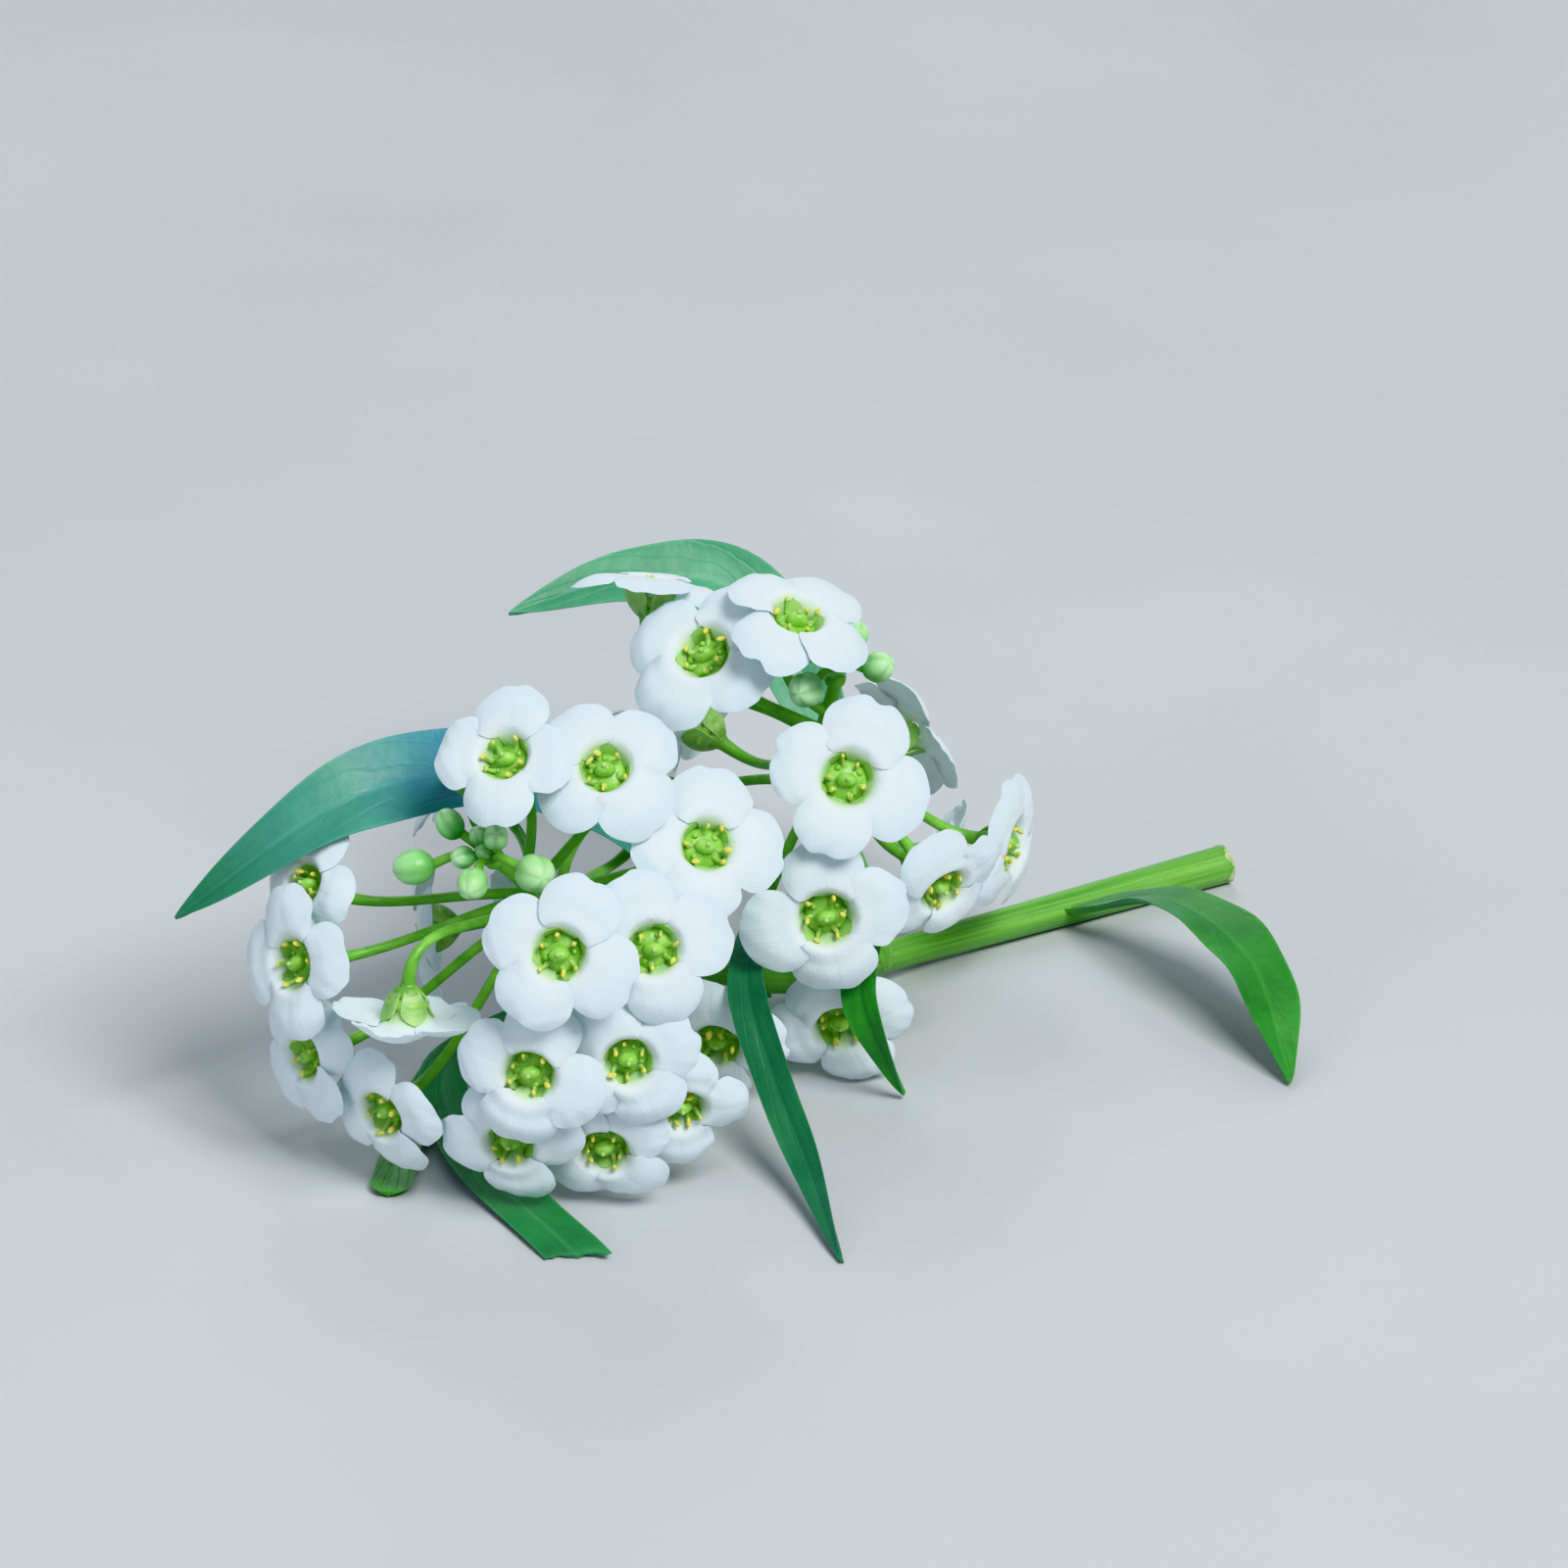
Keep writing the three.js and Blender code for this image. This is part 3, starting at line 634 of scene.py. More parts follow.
def petal_finish():
    """White, faintly blue towards the edge and green in the throat, with fine fanning veins."""
    f = Finish("petal", Roughness=0.5, Sheen_Weight=0.05, **under_skin(0.25, 0.6, SPREAD_IN_WHITE))
    along, across, tone = f.field("along"), f.field("across"), f.field("tone")
    body = f.ramp(
        along,
        (0.2, (0.2, 0.5, 0.06)),
        (0.3, (0.46, 0.7, 0.24)),
        (0.345, (0.76, 0.88, 0.76)),
        (0.38, (0.8, 0.9, 0.95)),
        (1.0, (0.73, 0.865, 0.965)),
    )
    fan = f.combine(f.math("MULTIPLY", across, 11.0), f.math("MULTIPLY", along, 1.6), tone)
    veins = f.noise(1.0, 4.0, fan, 0.6)
    threads = f.ramp(veins, (0.46, OFF), (0.53, ON), (0.6, OFF))
    veined = f.mix(threads, 0.12, body, (0.64, 0.77, 0.89))
    blotch = f.noise(900.0, 2.0)
    shaded = f.mix(blotch, 0.16, veined, (0.69, 0.82, 0.94))
    f.colour(f.mix(tone, 0.08, shaded, (0.68, 0.78, 0.88)))
    f.rough(blotch, 0.42, 0.6)
    f.bump((veins, 20 * MICRON), (f.noise(5000.0, 2.0), 12 * MICRON))
    return f.material


def green_finish(name, deep, light, roughness=0.45, hair=0.1, scale=1400.0, subsurface=0.2, paling=0.35):
    """Soft green tissue: lighter patches, fine cells and a faint bloom of hairs. paling is how
    far the tone of 1 turns it to the light green."""
    f = Finish(
        name,
        Roughness=roughness,
        Sheen_Weight=hair,
        Sheen_Tint=(0.75, 0.9, 1.0, 1),
        **under_skin(subsurface, 0.8, SPREAD_IN_GREEN),
    )
    patches = f.noise(scale, 4.0)
    base = f.ramp(patches, (0.3, deep), (0.7, light))
    f.colour(f.mix(f.field("tone"), paling, base, light))
    f.rough(patches, roughness - 0.08, roughness + 0.12)
    f.bump((f.noise(CELLS), 20 * MICRON))
    return f.material


def bud_finish():
    """Closed sepals: green below, pale at the tip, with darker seams."""
    f = Finish("bud", Roughness=0.34, Sheen_Weight=0.15, **under_skin(0.2, 0.6, SPREAD_IN_GREEN))
    along, across, tone = f.field("along"), f.field("across"), f.field("tone")
    patches = f.noise(1500.0)
    height = f.math("ADD", along, f.math("MULTIPLY", f.math("SUBTRACT", patches, 0.5), 0.24))
    body = f.ramp(
        height,
        (0.1, (0.07, 0.36, 0.06)),
        (0.36, (0.16, 0.52, 0.15)),
        (0.58, (0.3, 0.67, 0.27)),
        (0.82, (0.56, 0.86, 0.5)),
    )
    seamed = f.mix(across, 0.45, body, (0.06, 0.3, 0.04))
    f.colour(f.mix(tone, 0.3, seamed, (0.36, 0.66, 0.2)))
    f.rough(patches, 0.28, 0.46)
    f.bump((f.noise(CELLS), 20 * MICRON))
    return f.material


def stalk_finish():
    """Yellow-green stem with pale streaks between its ridges and a thin down of hairs."""
    f = Finish(
        "stalk",
        Roughness=0.42,
        Sheen_Weight=0.25,
        Sheen_Tint=(0.8, 0.95, 1.0, 1),
        **under_skin(0.15, 0.8, SPREAD_IN_GREEN),
    )
    along, across, tone = f.field("along"), f.field("across"), f.field("tone")
    lengthwise = f.combine(f.math("MULTIPLY", across, 16.0), f.math("MULTIPLY", along, 5.0), tone)
    streaks = f.noise(1.0, 4.0, lengthwise, 0.6)
    patches = f.noise(350.0)
    body = f.ramp(streaks, (0.32, (0.06, 0.27, 0.02)), (0.68, (0.2, 0.5, 0.075)))
    f.colour(f.mix(patches, 0.4, body, (0.15, 0.44, 0.05)))
    f.rough(streaks, 0.34, 0.55)
    f.bump((streaks, 60 * MICRON), (f.noise(7000.0, 2.0), 20 * MICRON))
    return f.material


def leaf_finish(name, deep, light, bloom, painted_shade=None):
    """A leathery blade: faint veins, a paler midrib and margin, a green base and a thin bloom of hairs.
    painted_shade is the colour of a painted bluish shade, laid as a band over its outer half where the
    flowers above shade the leaf; the tip beyond it is then darker."""
    f = Finish(
        name,
        Roughness=0.46,
        Sheen_Weight=0.3,
        Sheen_Roughness=0.4,
        Sheen_Tint=(0.6, 0.85, 1.0, 1),
        **under_skin(0.1, 0.6, SPREAD_IN_LEAF),
    )
    along = f.field("along")
    from_rib = f.math("ABSOLUTE", f.field("across"))
    cells = f.noise(2600.0, 4.0)
    patches = f.noise(420.0)
    blade = f.ramp(patches, (0.3, deep), (0.7, light))
    blade = f.mix(cells, 0.3, blade, bloom)
    slant = f.math("SUBTRACT", f.math("MULTIPLY", along, 20.0), f.math("MULTIPLY", from_rib, 6.0))
    slant = f.math("ADD", slant, f.math("MULTIPLY", patches, 3.0))
    stripes = f.math("ABSOLUTE", f.math("SINE", slant))
    side = f.ramp(stripes, (0.0, ON), (0.3, OFF))
    veined = f.mix(side, 0.07, blade, bloom)
    rib = f.ramp(from_rib, (0.02, ON), (0.12, OFF))
    ribbed = f.mix(rib, 0.35, veined, bloom)
    margin = f.ramp(from_rib, (0.9, OFF), (1.0, ON))
    end = f.ramp(along, (0.982, OFF), (0.998, ON))
    outer = f.math("MAXIMUM", margin, end)
    edged = f.mix(outer, 0.4, ribbed, bloom)
    if painted_shade:
        # Painted shade: a dark bluish band across the blade where the flowers above shade it, then a
        # darker tip
        uneven = f.math("ADD", along, f.math("MULTIPLY", patches, 0.1))
        shade_band = f.ramp(uneven, (0.42, OFF), (0.56, ON), (0.63, ON), (0.78, OFF))
        tip = f.ramp(uneven, (0.86, OFF), (1.0, ON))
        edged = f.mix(shade_band, 0.6, edged, painted_shade)
        edged = f.mix(tip, 0.7, edged, DARK_TIP)
    base = f.ramp(along, (0.02, ON), (0.2, OFF))
    f.colour(f.mix(base, 0.85, edged, LEAF_BASE))
    f.rough(cells, 0.38, 0.6)
    f.bump((side, -10 * MICRON), (cells, 30 * MICRON))
    return f.material


PETAL = petal_finish()
SEPAL = green_finish("sepal", (0.12, 0.37, 0.045), (0.4, 0.66, 0.22), roughness=0.42, paling=0.7)
PEDICEL = green_finish("pedicel", (0.08, 0.32, 0.025), (0.22, 0.52, 0.08), roughness=0.4)
STALK = stalk_finish()
CUT = green_finish("cut", (0.3, 0.48, 0.14), (0.6, 0.7, 0.38), roughness=0.6, hair=0.0, scale=3000.0)
BUD = bud_finish()
OVARY = green_finish(
    "ovary", (0.15, 0.45, 0.04), (0.36, 0.68, 0.14), roughness=0.36, hair=0.05, scale=2500.0
)
FILAMENT = green_finish("filament", (0.24, 0.52, 0.08), (0.45, 0.7, 0.22), hair=0.05)
ANTHER = green_finish(
    "anther", (0.52, 0.5, 0.05), (0.78, 0.78, 0.16), roughness=0.6, scale=CELLS, subsurface=0.1
)
# Each leaf finish's deep and light green, its bloom of hairs and, on one, the colour of a painted bluish
# shade.
LEAF_COLOURS = {
    "blue": ((0.03, 0.19, 0.13), (0.06, 0.29, 0.2), (0.12, 0.39, 0.32), (0.045, 0.2, 0.42)),
    "deep": ((0.008, 0.095, 0.04), (0.02, 0.16, 0.06), (0.04, 0.24, 0.11)),
    "soft": ((0.034, 0.22, 0.1), (0.07, 0.32, 0.16), (0.13, 0.42, 0.27)),
    "mid": ((0.007, 0.12, 0.016), (0.016, 0.2, 0.035), (0.08, 0.32, 0.15)),
    "grass": ((0.01, 0.12, 0.004), (0.035, 0.23, 0.008), (0.06, 0.3, 0.02)),
    "fresh": ((0.01, 0.13, 0.012), (0.03, 0.24, 0.025), (0.08, 0.34, 0.06)),
}
LEAF_FINISHES = {name: leaf_finish("leaf_" + name, *greens) for name, greens in LEAF_COLOURS.items()}


# ---- The stem and the racemes' axes ----


class Stalk:
    """One raceme's stalk, from its start on the ground or the fork to its tip."""

    def __init__(self, letter):
        self.heart = HEARTS[letter]
        self.axis = unit(AXES[letter])
        self.tip = self.heart + self.axis * HEART_TO_TIP
        self.curve = Curve([*PATHS[letter], self.heart, self.tip])
        self.start = STEM_CUT_RADIUS if letter == "a" else STEM_FORK_RADIUS
        bare = 1 - RACEME_LENGTH / self.curve.length
        self.split = math.floor(bare * STALK_STATIONS + 0.5) / STALK_STATIONS

    def radius(self, t):
        narrow = self.start + (AXIS_RADIUS - self.start) * min(1, t / AXIS_FROM)
        return narrow + (AXIS_TIP_RADIUS - AXIS_RADIUS) * past(t, AXIS_TIP_FROM)

    def tube(self, shape, first, last, steps, ridge_depth, flat_start=False):
        """A stretch of the stalk, whose ridges' depth is a share of its radius."""
        ts = np.linspace(first, last, steps)
        section = 1 - ridge_depth * np.abs(np.cos(RIDGES / 2 * around(STALK_SIDES)))
        radii = [self.radius(t) for t in ts]
        tube(shape, self.curve.at(ts), radii, STALK_SIDES, section, flat_start=flat_start)


STALKS = {letter: Stalk(letter) for letter in "ab"}


def add_cut_end(shape, centre, outward, radius):
    """A flat, slightly ragged face where the stem was cut, paler than its skin."""
    rng = np.random.RandomState(7)
    axes = turned_from_z(outward).T
    sides = STALK_SIDES
    turns = around(sides)
    rings, tones = [], []
    for share, out, tone in CUT_RINGS:
        rim = radius * share * (1 + rng.uniform(-CUT_ROUGHNESS, CUT_ROUGHNESS, sides))
        height = out + rng.uniform(-CUT_ROUGHNESS, CUT_ROUGHNESS, sides) * (out > CUT_SURFACE)
        ring = np.column_stack([rim * np.cos(turns), rim * np.sin(turns), height])
        rings.append(centre + ring @ axes)
        tones.append(np.full(sides, tone))
    faces = closed_faces(len(rings), sides)
    shape.add(np.vstack(rings), faces, kind=1, tone=np.concatenate(tones))


def build_stem():
    shape = Shape()
    short = 0.5 / STALK_STATIONS  # of the split, inside the raceme's axis
    for letter, stalk in STALKS.items():
        last = stalk.split - short
        stalk.tube(shape, 0, last, STEM_STEPS[letter], ridge_depth=0.07, flat_start=letter == "a")
    curve = STALKS["a"].curve
    add_cut_end(shape, curve.at(0), -curve.tangent(0), STEM_CUT_RADIUS)
    shape.piece("stem_with_fork", [STALK, CUT], ["stem"])


def build_axis(letter):
    shape = Shape()
    stalk = STALKS[letter]
    stalk.tube(shape, stalk.split - 1 / STALK_STATIONS, 1, steps=30, ridge_depth=0.05)
    shape.piece("raceme_axis_" + letter, [PEDICEL], ["raceme_" + letter])


# ---- An open flower ----


def petal_outline(rng):
    """The blade's outline from the claw round the tip and back, seen from above."""
    side = np.array(PETAL_SIDE)
    width = rng.uniform(0.93, 1.05, 2)
    lower = side[::-1] * [1, -width[0]]
    notch = [PETAL_TIP - PETAL_NOTCH * rng.uniform(-0.2, 1.5), rng.normal(0, 0.08)]
    corners = np.vstack([side * [1, width[1]], [notch], lower])
    claw = 5  # points on each side that don't stray along the petal
    corners[1:-1, 1] += rng.normal(0, 0.025, len(corners) - 2)
    corners[claw:-claw, 0] += rng.normal(0, 0.03, len(corners) - 2 * claw)
    curve = Curve(np.column_stack([corners, np.zeros(len(corners))]), 12)
    return curve.at(np.linspace(0, 1, PETAL_OUTLINE))[:, :2]


def petal_height(x, y, edge, bend):
    """How high the blade stands at x along it and y across it; edge is 1 at its outline."""
    r = np.hypot(x, y)
    inside = np.clip((THROAT_RADIUS - r) / (THROAT_RADIUS - PETAL_FOOT), 0, 1)
    height = THROAT_RIM - THROAT_DEPTH * inside**1.5
    beyond = np.maximum(r - THROAT_RADIUS, 0) / (PETAL_TIP - THROAT_RADIUS)
    height = height - (PETAL_DROOP + bend["droop"]) * beyond**2 + PETAL_ARCH * np.sin(beyond * math.pi)
    blade = np.clip((r - BLADE_FROM) / (BLADE_FULL - BLADE_FROM), 0, 1) ** 1.5
    height -= bend["valley"] * hump(r - VALLEY_PLACE, VALLEY_WIDTH)
    height -= blade * ((PETAL_CUP + bend["cup"]) * (y / PETAL_HALF_WIDTH) ** 2 + PETAL_CURL * edge**4)
    height -= blade * GROOVE_DEPTH * hump(y, GROOVE_WIDTH) * np.maximum(0, 1 - beyond)
    waves, phase = bend["waves"], bend["phase"]
    height += blade * edge**2 * bend["ripple"] * np.sin(waves * y + phase)
    height += blade * edge**3 * FINE_RIPPLE * np.sin(2.3 * waves * (y + x) + 2 * phase)
    return height + blade * bend["tilt"] * y + bend["lift"] * np.maximum(x - BLADE_FROM, 0)


def petal_sheet(turn, rng, flower_lift):
    """A petal's points, faces and fields, in the flower's own frame."""
    outline = petal_outline(rng)
    hub = np.array(PETAL_HUB)
    bend = {name: rng.uniform(*limits) for name, limits in PETAL_BENDS.items()}
    bend["tilt"] = rng.uniform(0.02, 0.07) * rng.choice([-1, 1])
    bend["lift"] = rng.normal(0, 0.06) + flower_lift
    scale = rng.uniform(0.95, 1.03)
    rings = []
    edges = np.linspace(0, 1, PETAL_RINGS + 1)[1:] ** 0.9
    count = len(outline)
    for edge in edges:
        flat = hub + (outline - hub) * edge
        height = petal_height(flat[:, 0], flat[:, 1], edge, bend)
        rings.append(np.column_stack([flat * scale, height]))
    middle = [[hub[0] * scale, 0, petal_height(hub[0], 0.0, 0, bend)]]
    top = np.vstack(rings)
    thin = PETAL_THICKNESS * np.repeat(1 - RIM_THINNING * edges**3, count)
    bottom = top - np.outer(thin, [0, 0, 1])
    under = len(top) + 1
    faces = ring_faces(PETAL_RINGS, count)
    faces += [(len(top), (i + 1) % count, i) for i in range(count)]
    faces = [tuple(reversed(face)) for face in faces]
    flipped = [tuple(under + i for i in reversed(face)) for face in faces]
    last = (PETAL_RINGS - 1) * count
    rim = [(last + i, last + (i + 1) % count) for i in range(count)]
    faces += flipped + [(a, b, b + under, a + under) for a, b in rim]
    points = np.vstack([top, middle, bottom, np.array(middle) - [0, 0, PETAL_THICKNESS]])
    along = np.clip(np.hypot(points[:, 0], points[:, 1]) / PETAL_TIP, 0, 1)
    across = points[:, 1] / PETAL_HALF_WIDTH
    return turned(points, turn), faces, dict(along=along, across=across, tone=rng.uniform(0, 1))


def build_petals(flower, rng):
    shape = Shape()
    flower_lift = rng.normal(0, 0.04)
    for k in range(4):
        turn = k * math.pi / 2 + rng.normal(0, 0.06)
        points, faces, fields = petal_sheet(turn, rng, flower_lift)
        points[:, 2] += PETAL_OVERLAP if k % 2 else -PETAL_OVERLAP
        shape.add(flower.to_layout(points), faces, **fields)
    shape.piece("flower_" + flower.name + "_petals", [PETAL], [flower.node])


def build_centre(flower, rng):
    """The pistil, six stamens and the green floor of the throat."""
    shape = Shape()

    def put(turn, out, up):
        return flower.to_layout([[out * math.cos(turn), out * math.sin(turn), up]])[0]

    ball(shape, put(0, 0, FLOOR_HEIGHT), flower.axes, FLOOR_RADII, rings=8)
    for k in range(4):
        turn = (k + 0.5) * math.pi / 2 + rng.normal(0, 0.1)
        ball(shape, put(turn, *GLAND_PLACE), flower.axes, GLAND_RADII, sides=8, rings=5)
    half_height = rng.uniform(0.34, 0.44)
    pod_axes = turned_from_z(flower.z + rng.normal(0, 0.1, 3)).T
    pod_radii = (*POD_RADII, half_height)
    ball(shape, put(0, 0, POD_HEIGHT), pod_axes, pod_radii, tone=rng.uniform(0.3, 0.8))
    style = put(0, 0, POD_HEIGHT + half_height + STYLE_OVER_POD)
    ball(shape, style, flower.axes, STYLE_RADII, kind=1, tone=0.9, sides=8, rings=5)
    for k in range(STAMENS):
        turn = k * 2 * math.pi / STAMENS + rng.normal(0, 0.16)
        reach, top = rng.uniform(0.62, 0.9), rng.uniform(-0.2, 0.1)
        knots = [put(turn, *STAMEN_FOOT), put(turn, *STAMEN_KNEE), put(turn, reach, top)]
        path = Curve(knots, 6).points
        tube(shape, path, np.linspace(*FILAMENT_RADII, len(path)), 6, kind=1, tone=rng.uniform(0, 1))
        lean = turned_from_z(flower.z + rng.normal(0, 0.5, 3)).T
        size = np.array(ANTHER_RADII) * rng.uniform(0.8, 1.15)
        ball(shape, path[-1], lean, size, kind=2, tone=rng.uniform(0, 1), sides=8, rings=6)
    name = "flower_" + flower.name + "_centre"
    shape.piece(name, [OVARY, FILAMENT, ANTHER])


def add_sepal(shape, flower, turn, rng):
    """A boat-shaped sepal from the flower's foot to under the gap between two petals."""
    stations, columns = 11, 9
    t = np.linspace(0, 1, stations)
    reach = SEPAL_FOOT + (SEPAL_BELLY - SEPAL_FOOT) * widening(t, SEPAL_BELLY_AT) ** 0.9
    flare = SEPAL_REACH - SEPAL_BELLY + rng.uniform(-0.06, 0.04)
    reach += flare * past(t, SEPAL_FLARE_FROM) ** 1.6
    height = CALYX_FOOT + (-SEPAL_TOP_DEPTH - CALYX_FOOT) * t
    foot, widest, tip = SEPAL_HALF_WIDTHS
    half = foot + (widest - foot) * widening(t, SEPAL_WIDEST)
    half -= (widest - tip) * past(t, SEPAL_WIDEST) ** 2.2
    v = np.linspace(-1, 1, columns)
    grid = []
    for k in range(stations):
        y = half[k] * v
        x = reach[k] - SEPAL_HOLLOW * y**2 * (1 - 0.5 * t[k])
        z = height[k] + SEPAL_EDGE_RISE * t[k] * y**2
        grid.append(np.column_stack([x, y, z]))
    outer = np.vstack(grid)
    inner = outer * [0.93, 1, 1] + [-0.02, 0, 0.03]  # a thin skin
    along = np.tile(np.repeat(t, columns), 2)
    inside = np.repeat([0.0, 1.0], len(outer))
    shape.add(
        flower.to_layout(turned(np.vstack([outer, inner]), turn)),
        sheet_faces(stations, columns),
        kind=1,
        along=along,
        tone=np.clip(along * 0.45 + inside + rng.uniform(0, 0.15), 0, 1),  # paler up and inside
    )


def pedicel_path(flower):
    """From the raceme's axis to the flower's foot: lower flowers leave it further from the tip."""
    stalk = STALKS[flower.letter]
    out = unit(flower.middle - stalk.heart)
    lowness = math.acos(float(np.clip(out @ stalk.axis, -1, 1))) / math.pi
    from_tip = HEART_TO_TIP * (PEDICEL_ROOTS[0] + PEDICEL_ROOTS[1] * lowness)
    t = 1 - from_tip / stalk.curve.length
    root, along = stalk.curve.at(t), stalk.curve.tangent(t)
    sideways = flower.middle - root
    sideways = unit(sideways - along * (sideways @ along))
    leaving = unit(sideways + along * (0.9 - lowness))
    neck = flower.to_layout([[0, 0, CALYX_FOOT]])[0]
    bow = np.linalg.norm(neck - root) * PEDICEL_BOW
    knots = [root, root + leaving * bow, neck - flower.z * bow, neck]
    s = np.linspace(0, 1, num=22)[:, None]
    weights = [(1 - s) ** 3, 3 * s * (1 - s) ** 2, 3 * s**2 * (1 - s), s**3]
    return sum(w * k for w, k in zip(weights, knots))


def build_calyx(flower, rng):
    """The four sepals, the seat inside them and the flower's stalk."""
    shape = Shape()
    path = pedicel_path(flower)
    s = np.linspace(0, 1, len(path))
    swelling = PEDICEL_SWELLS[0] * (1 - s) ** 6 + PEDICEL_SWELLS[1] * s**8
    tube(shape, path, PEDICEL_RADIUS * (1 + swelling), tone=rng.uniform(0, 1))
    for height, ball_radii, tone, rings in CALYX_BALLS:
        middle = flower.to_layout([[0, 0, CALYX_FOOT + height]])[0]
        ball(shape, middle, flower.axes, ball_radii, tone=tone, rings=rings)
    for k in range(4):
        add_sepal(shape, flower, (k + 0.5) * math.pi / 2, rng)
    shape.piece("flower_" + flower.name + "_calyx", [PEDICEL, SEPAL])


# ---- Buds ----


def bud_dents(turns, height):
    """Four sepals meet in shallow grooves that run up to the bud's tip."""
    return 1 - BUD_SEAM_DEPTH * np.abs(np.cos(2 * turns)) ** 8 * (1 - 0.4 * abs(height))


def build_buds(letter):
    """A knot of buds over a raceme's tip: small ones in the middle, larger ones round them."""
    rng = np.random.RandomState(ord(letter))
    shape = Shape()
    stalk = STALKS[letter]
    upright = turned_from_z(stalk.axis)
    core = stalk.tip + stalk.axis * (SEAT_GAP + BUD_CORE_SEAT * BUD_CORE_RADIUS)
    ball(shape, core, upright.T, [BUD_CORE_RADIUS] * 3, tone=0.3)
    for i in range(BUD_COUNTS[letter]):
        share = i / (FULL_KNOT - 1)
        radius = np.interp(share, (0, 1), BUD_RADII)
        reach = np.interp(share, (0, 1), BUD_STALKS)
        rise = 90 - np.interp(share, (0, 1), BUD_SPREAD)
        out = upright @ bearing(FIRST_BUDS[letter] + GOLDEN_ANGLE * i, rise)
        axes = turned_from_z(out + rng.normal(0, 0.12, 3)).T
        centre = core + out * reach
        size = radius * np.array([rng.uniform(0.95, 1.03), 1, BUD_LENGTHENING])
        tone = rng.uniform(0, 1)
        ball(shape, centre, axes, size, kind=1, tone=tone, sides=24, rings=16, dent=bud_dents)
        bow = unit(out + 0.5 * stalk.axis)
        path = Curve([core, core + bow * reach * 0.5, centre - out * radius * 0.9], 8).points
        tube(shape, path, np.linspace(*BUD_STALK_RADII, len(path)), 8, tone=0.6)
    shape.piece("bud_knot_" + letter, [PEDICEL, BUD], ["buds_" + letter])


# ---- Leaves ----


def leaf_share(t, torn):
    """The blade's half width at t along its midrib, as a share of the full one."""
    if torn:
        rounding = past(t, BLUNT_FROM) if torn == "blunt" else 0
        wide = TORN_BASE + (1 - TORN_BASE) * widening(t, TORN_WIDEST)
        return wide * (1 - BLUNT_NARROWING * rounding**2.5)
    narrowing = np.maximum(0, np.cos(past(t, LEAF_WIDEST) * math.pi / 2)) ** 0.8
    stalk = LEAF_STALK * (1 - t)
    return np.maximum(0.02, stalk + (1 - stalk) * widening(t, LEAF_WIDEST) ** 1.4 * narrowing)


def seat_on_stalk(point):
    """The point just inside the nearest stalk's skin, on the side of the given point."""
    ts = np.linspace(0, 1, 101)
    found = []
    for stalk in STALKS.values():
        for t, on in zip(ts, stalk.curve.at(ts)):
            found.append((np.linalg.norm(on - point), t, on, stalk))
    _, t, on, stalk = min(found, key=lambda item: item[0])
    return on + unit(np.asarray(point) - on) * (stalk.radius(t) - LEAF_SUNK)


def torn_end(t, v, half, phase):
    """How far a slanted torn end's margin lies beyond its midrib's end, at v across the blade."""
    ragged = TORN_TEETH[0] * np.sin(7 * v + phase) + TORN_TEETH[1] * np.sin(17 * v + 2 * phase)
    return t**40 * (ragged - TORN_SLANT * half * v + TORN_BOW * (v * v - 0.5))


def build_leaf(name, finish, midrib, up, width, torn=""):
    """A leaf with a pointed tip, or one whose end is torn: slanted or blunt."""
    rng = np.random.RandomState(len(name))
    curve = Curve([seat_on_stalk(midrib[0]), *midrib[1:]])
    v = np.sin(np.linspace(-1, 1, LEAF_COLUMNS) * math.pi / 2)
    top = []
    phases = rng.uniform(0, 6, 4)
    ts = 1 - np.linspace(1, 0, LEAF_ROWS) ** 1.5
    for t in ts:
        tangent = curve.tangent(t)
        up_here = np.array(up[0]) * (1 - t) + np.array(up[1]) * t
        across = unit(np.cross(tangent, up_here))
        over = np.cross(across, tangent)
        half = BLADE_SHARE * width / 2 * float(leaf_share(t, torn))
        ripple = np.sin(15 * t + phases[0] + v) + np.sin(27 * t + phases[1] - 2 * v)
        ripple *= LEAF_RIPPLE * half
        flat_end = 1 - 0.8 * t**8 if torn else 1
        fold = flat_end * (LEAF_FOLD * half * np.abs(v) ** 1.3 + ripple * np.abs(v) ** 3)
        groove = -LEAF_GROOVE * flat_end * hump(v * half, LEAF_GROOVE_WIDTH)
        edge = half * (1 + LEAF_MARGIN_WAVE * np.sin(22 * t + phases[2]))
        row = curve.at(t) + np.outer(v * edge, across) + np.outer(fold + groove, over)
        if torn == "slanted":
            row += np.outer(torn_end(t, v, half, phases[3]), tangent)
        top.append(row)
    top = np.array(top)
    normals = np.cross(np.gradient(top, axis=0), np.gradient(top, axis=1))
    normals /= np.maximum(np.linalg.norm(normals, axis=2, keepdims=True), 1e-9)
    depth = LEAF_THICKNESS * (1 - RIM_THINNING * np.abs(v) ** 4)
    depth += LEAF_KEEL * hump(v, LEAF_KEEL_WIDTH)
    bottom = top + normals * depth[None, :, None]
    shape = Shape()
    shape.add(
        np.concatenate([top, bottom]),
        sheet_faces(LEAF_ROWS, LEAF_COLUMNS),
        along=np.tile(np.repeat(ts, LEAF_COLUMNS), 2),
        across=np.tile(v, 2 * LEAF_ROWS),
        tone=rng.uniform(0, 1),
    )
    shape.piece(name.replace("leaf_", "blade_"), [LEAF_FINISHES[finish]], [name])


# ---- Stage, light and camera ----


def build_stage():
    mesh = bpy.data.meshes.new("floor")
    reach = 3.0
    corners = [(-reach, -reach, 0), (reach, -reach, 0), (reach, reach, 0), (-reach, reach, 0)]
    mesh.from_pydata(corners, [], [(0, 1, 2, 3)])
    floor = new_object("floor", mesh)
    f = Finish("pale_floor", Roughness=0.7)
    f.colour(f.ramp(f.noise(30.0, 4.0), (0.3, (0.47, 0.49, 0.51)), (0.7, (0.51, 0.53, 0.55))))
    f.bump((f.noise(2500.0), 10 * MICRON))
    mesh.materials.append(f.material)


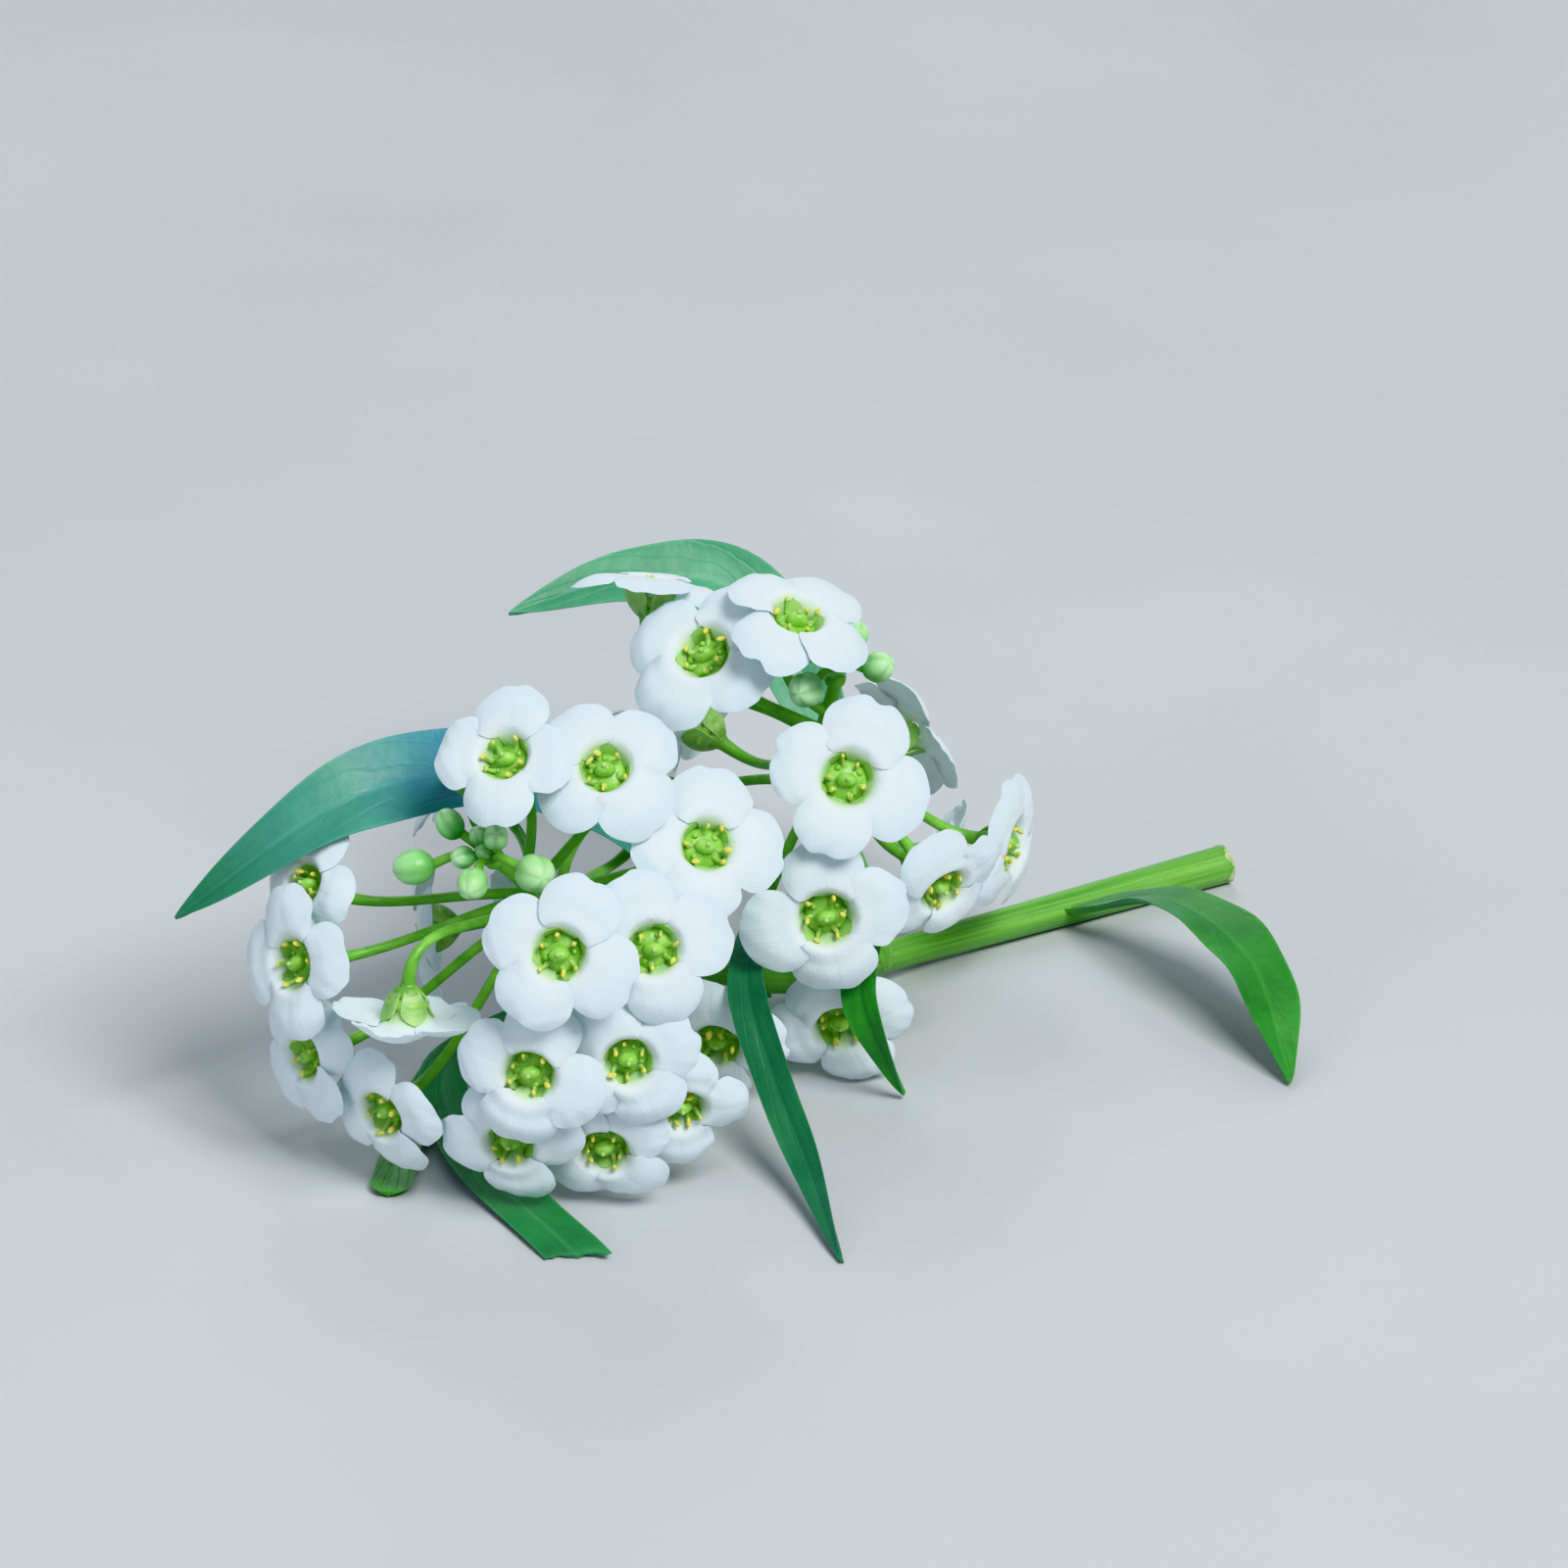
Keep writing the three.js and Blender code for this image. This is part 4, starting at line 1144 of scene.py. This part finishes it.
def build_light():
    target = Vector((0, 0, 8 * MM))
    # Each lamp's name, place and size in metres, power in watts and colour.
    lamps = (
        ("key", (0.22, -0.3, 0.5), 0.28, 4.1, (1, 0.99, 0.97)),
        ("fill", (-0.5, -0.35, 0.3), 0.5, 0.8, (0.85, 0.93, 1)),
        ("back", (-0.1, 0.5, 0.4), 0.4, 1.2, (0.92, 0.97, 1)),
    )
    for name, place, size, power, colour in lamps:
        data = bpy.data.lights.new(name, "AREA")
        data.size, data.energy, data.color = size, power, colour
        lamp = new_object(name, data)
        lamp.location = place
        lamp.rotation_euler = (target - Vector(place)).to_track_quat("-Z", "Y").to_euler()
    world = bpy.data.worlds.new("studio")
    world.use_nodes = True
    background = world.node_tree.nodes["Background"]
    background.inputs["Color"].default_value = (0.82, 0.91, 1, 1)
    background.inputs["Strength"].default_value = 0.3
    bpy.context.scene.world = world
    bpy.context.scene.view_settings.view_transform = "Khronos PBR Neutral"


def build_camera():
    rise = math.radians(CAMERA_ELEVATION)
    up = np.array([0, math.sin(rise), math.cos(rise)])
    ahead = np.array([0, math.cos(rise), -math.sin(rise)])
    right = np.array([1.0, 0, 0])
    half = IMAGE_SIDE / 2
    offset = np.array([half - HEART_A_PIXEL[0], HEART_A_PIXEL[1] - half]) * MM_PER_PIXEL
    target = HEARTS["a"] + right * offset[0] + up * offset[1]
    data = bpy.data.cameras.new("camera")
    data.sensor_width = SENSOR
    data.lens = SENSOR * CAMERA_DISTANCE / (IMAGE_SIDE * MM_PER_PIXEL)
    data.clip_start, data.clip_end = 0.01, 20
    camera = new_object("camera", data)
    camera.location = (target - ahead * CAMERA_DISTANCE - FOOTPRINT_MIDDLE) * MM
    camera.rotation_euler = Vector(ahead).to_track_quat("-Z", "Y").to_euler()
    bpy.context.scene.camera = camera


# ---- The sprig ----

build_camera()
build_light()
build_stage()
build_stem()
for letter in "ab":
    build_axis(letter)
    build_buds(letter)
for name, leaf in LEAVES.items():
    build_leaf(name, **leaf)
names = sorted(node[len("petals_") :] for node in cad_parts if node.startswith("petals_"))
for seed, name in enumerate(names):
    rng = np.random.RandomState(seed + 1)
    flower = Flower(name)
    build_petals(flower, rng)
    build_centre(flower, rng)
    build_calyx(flower, rng)
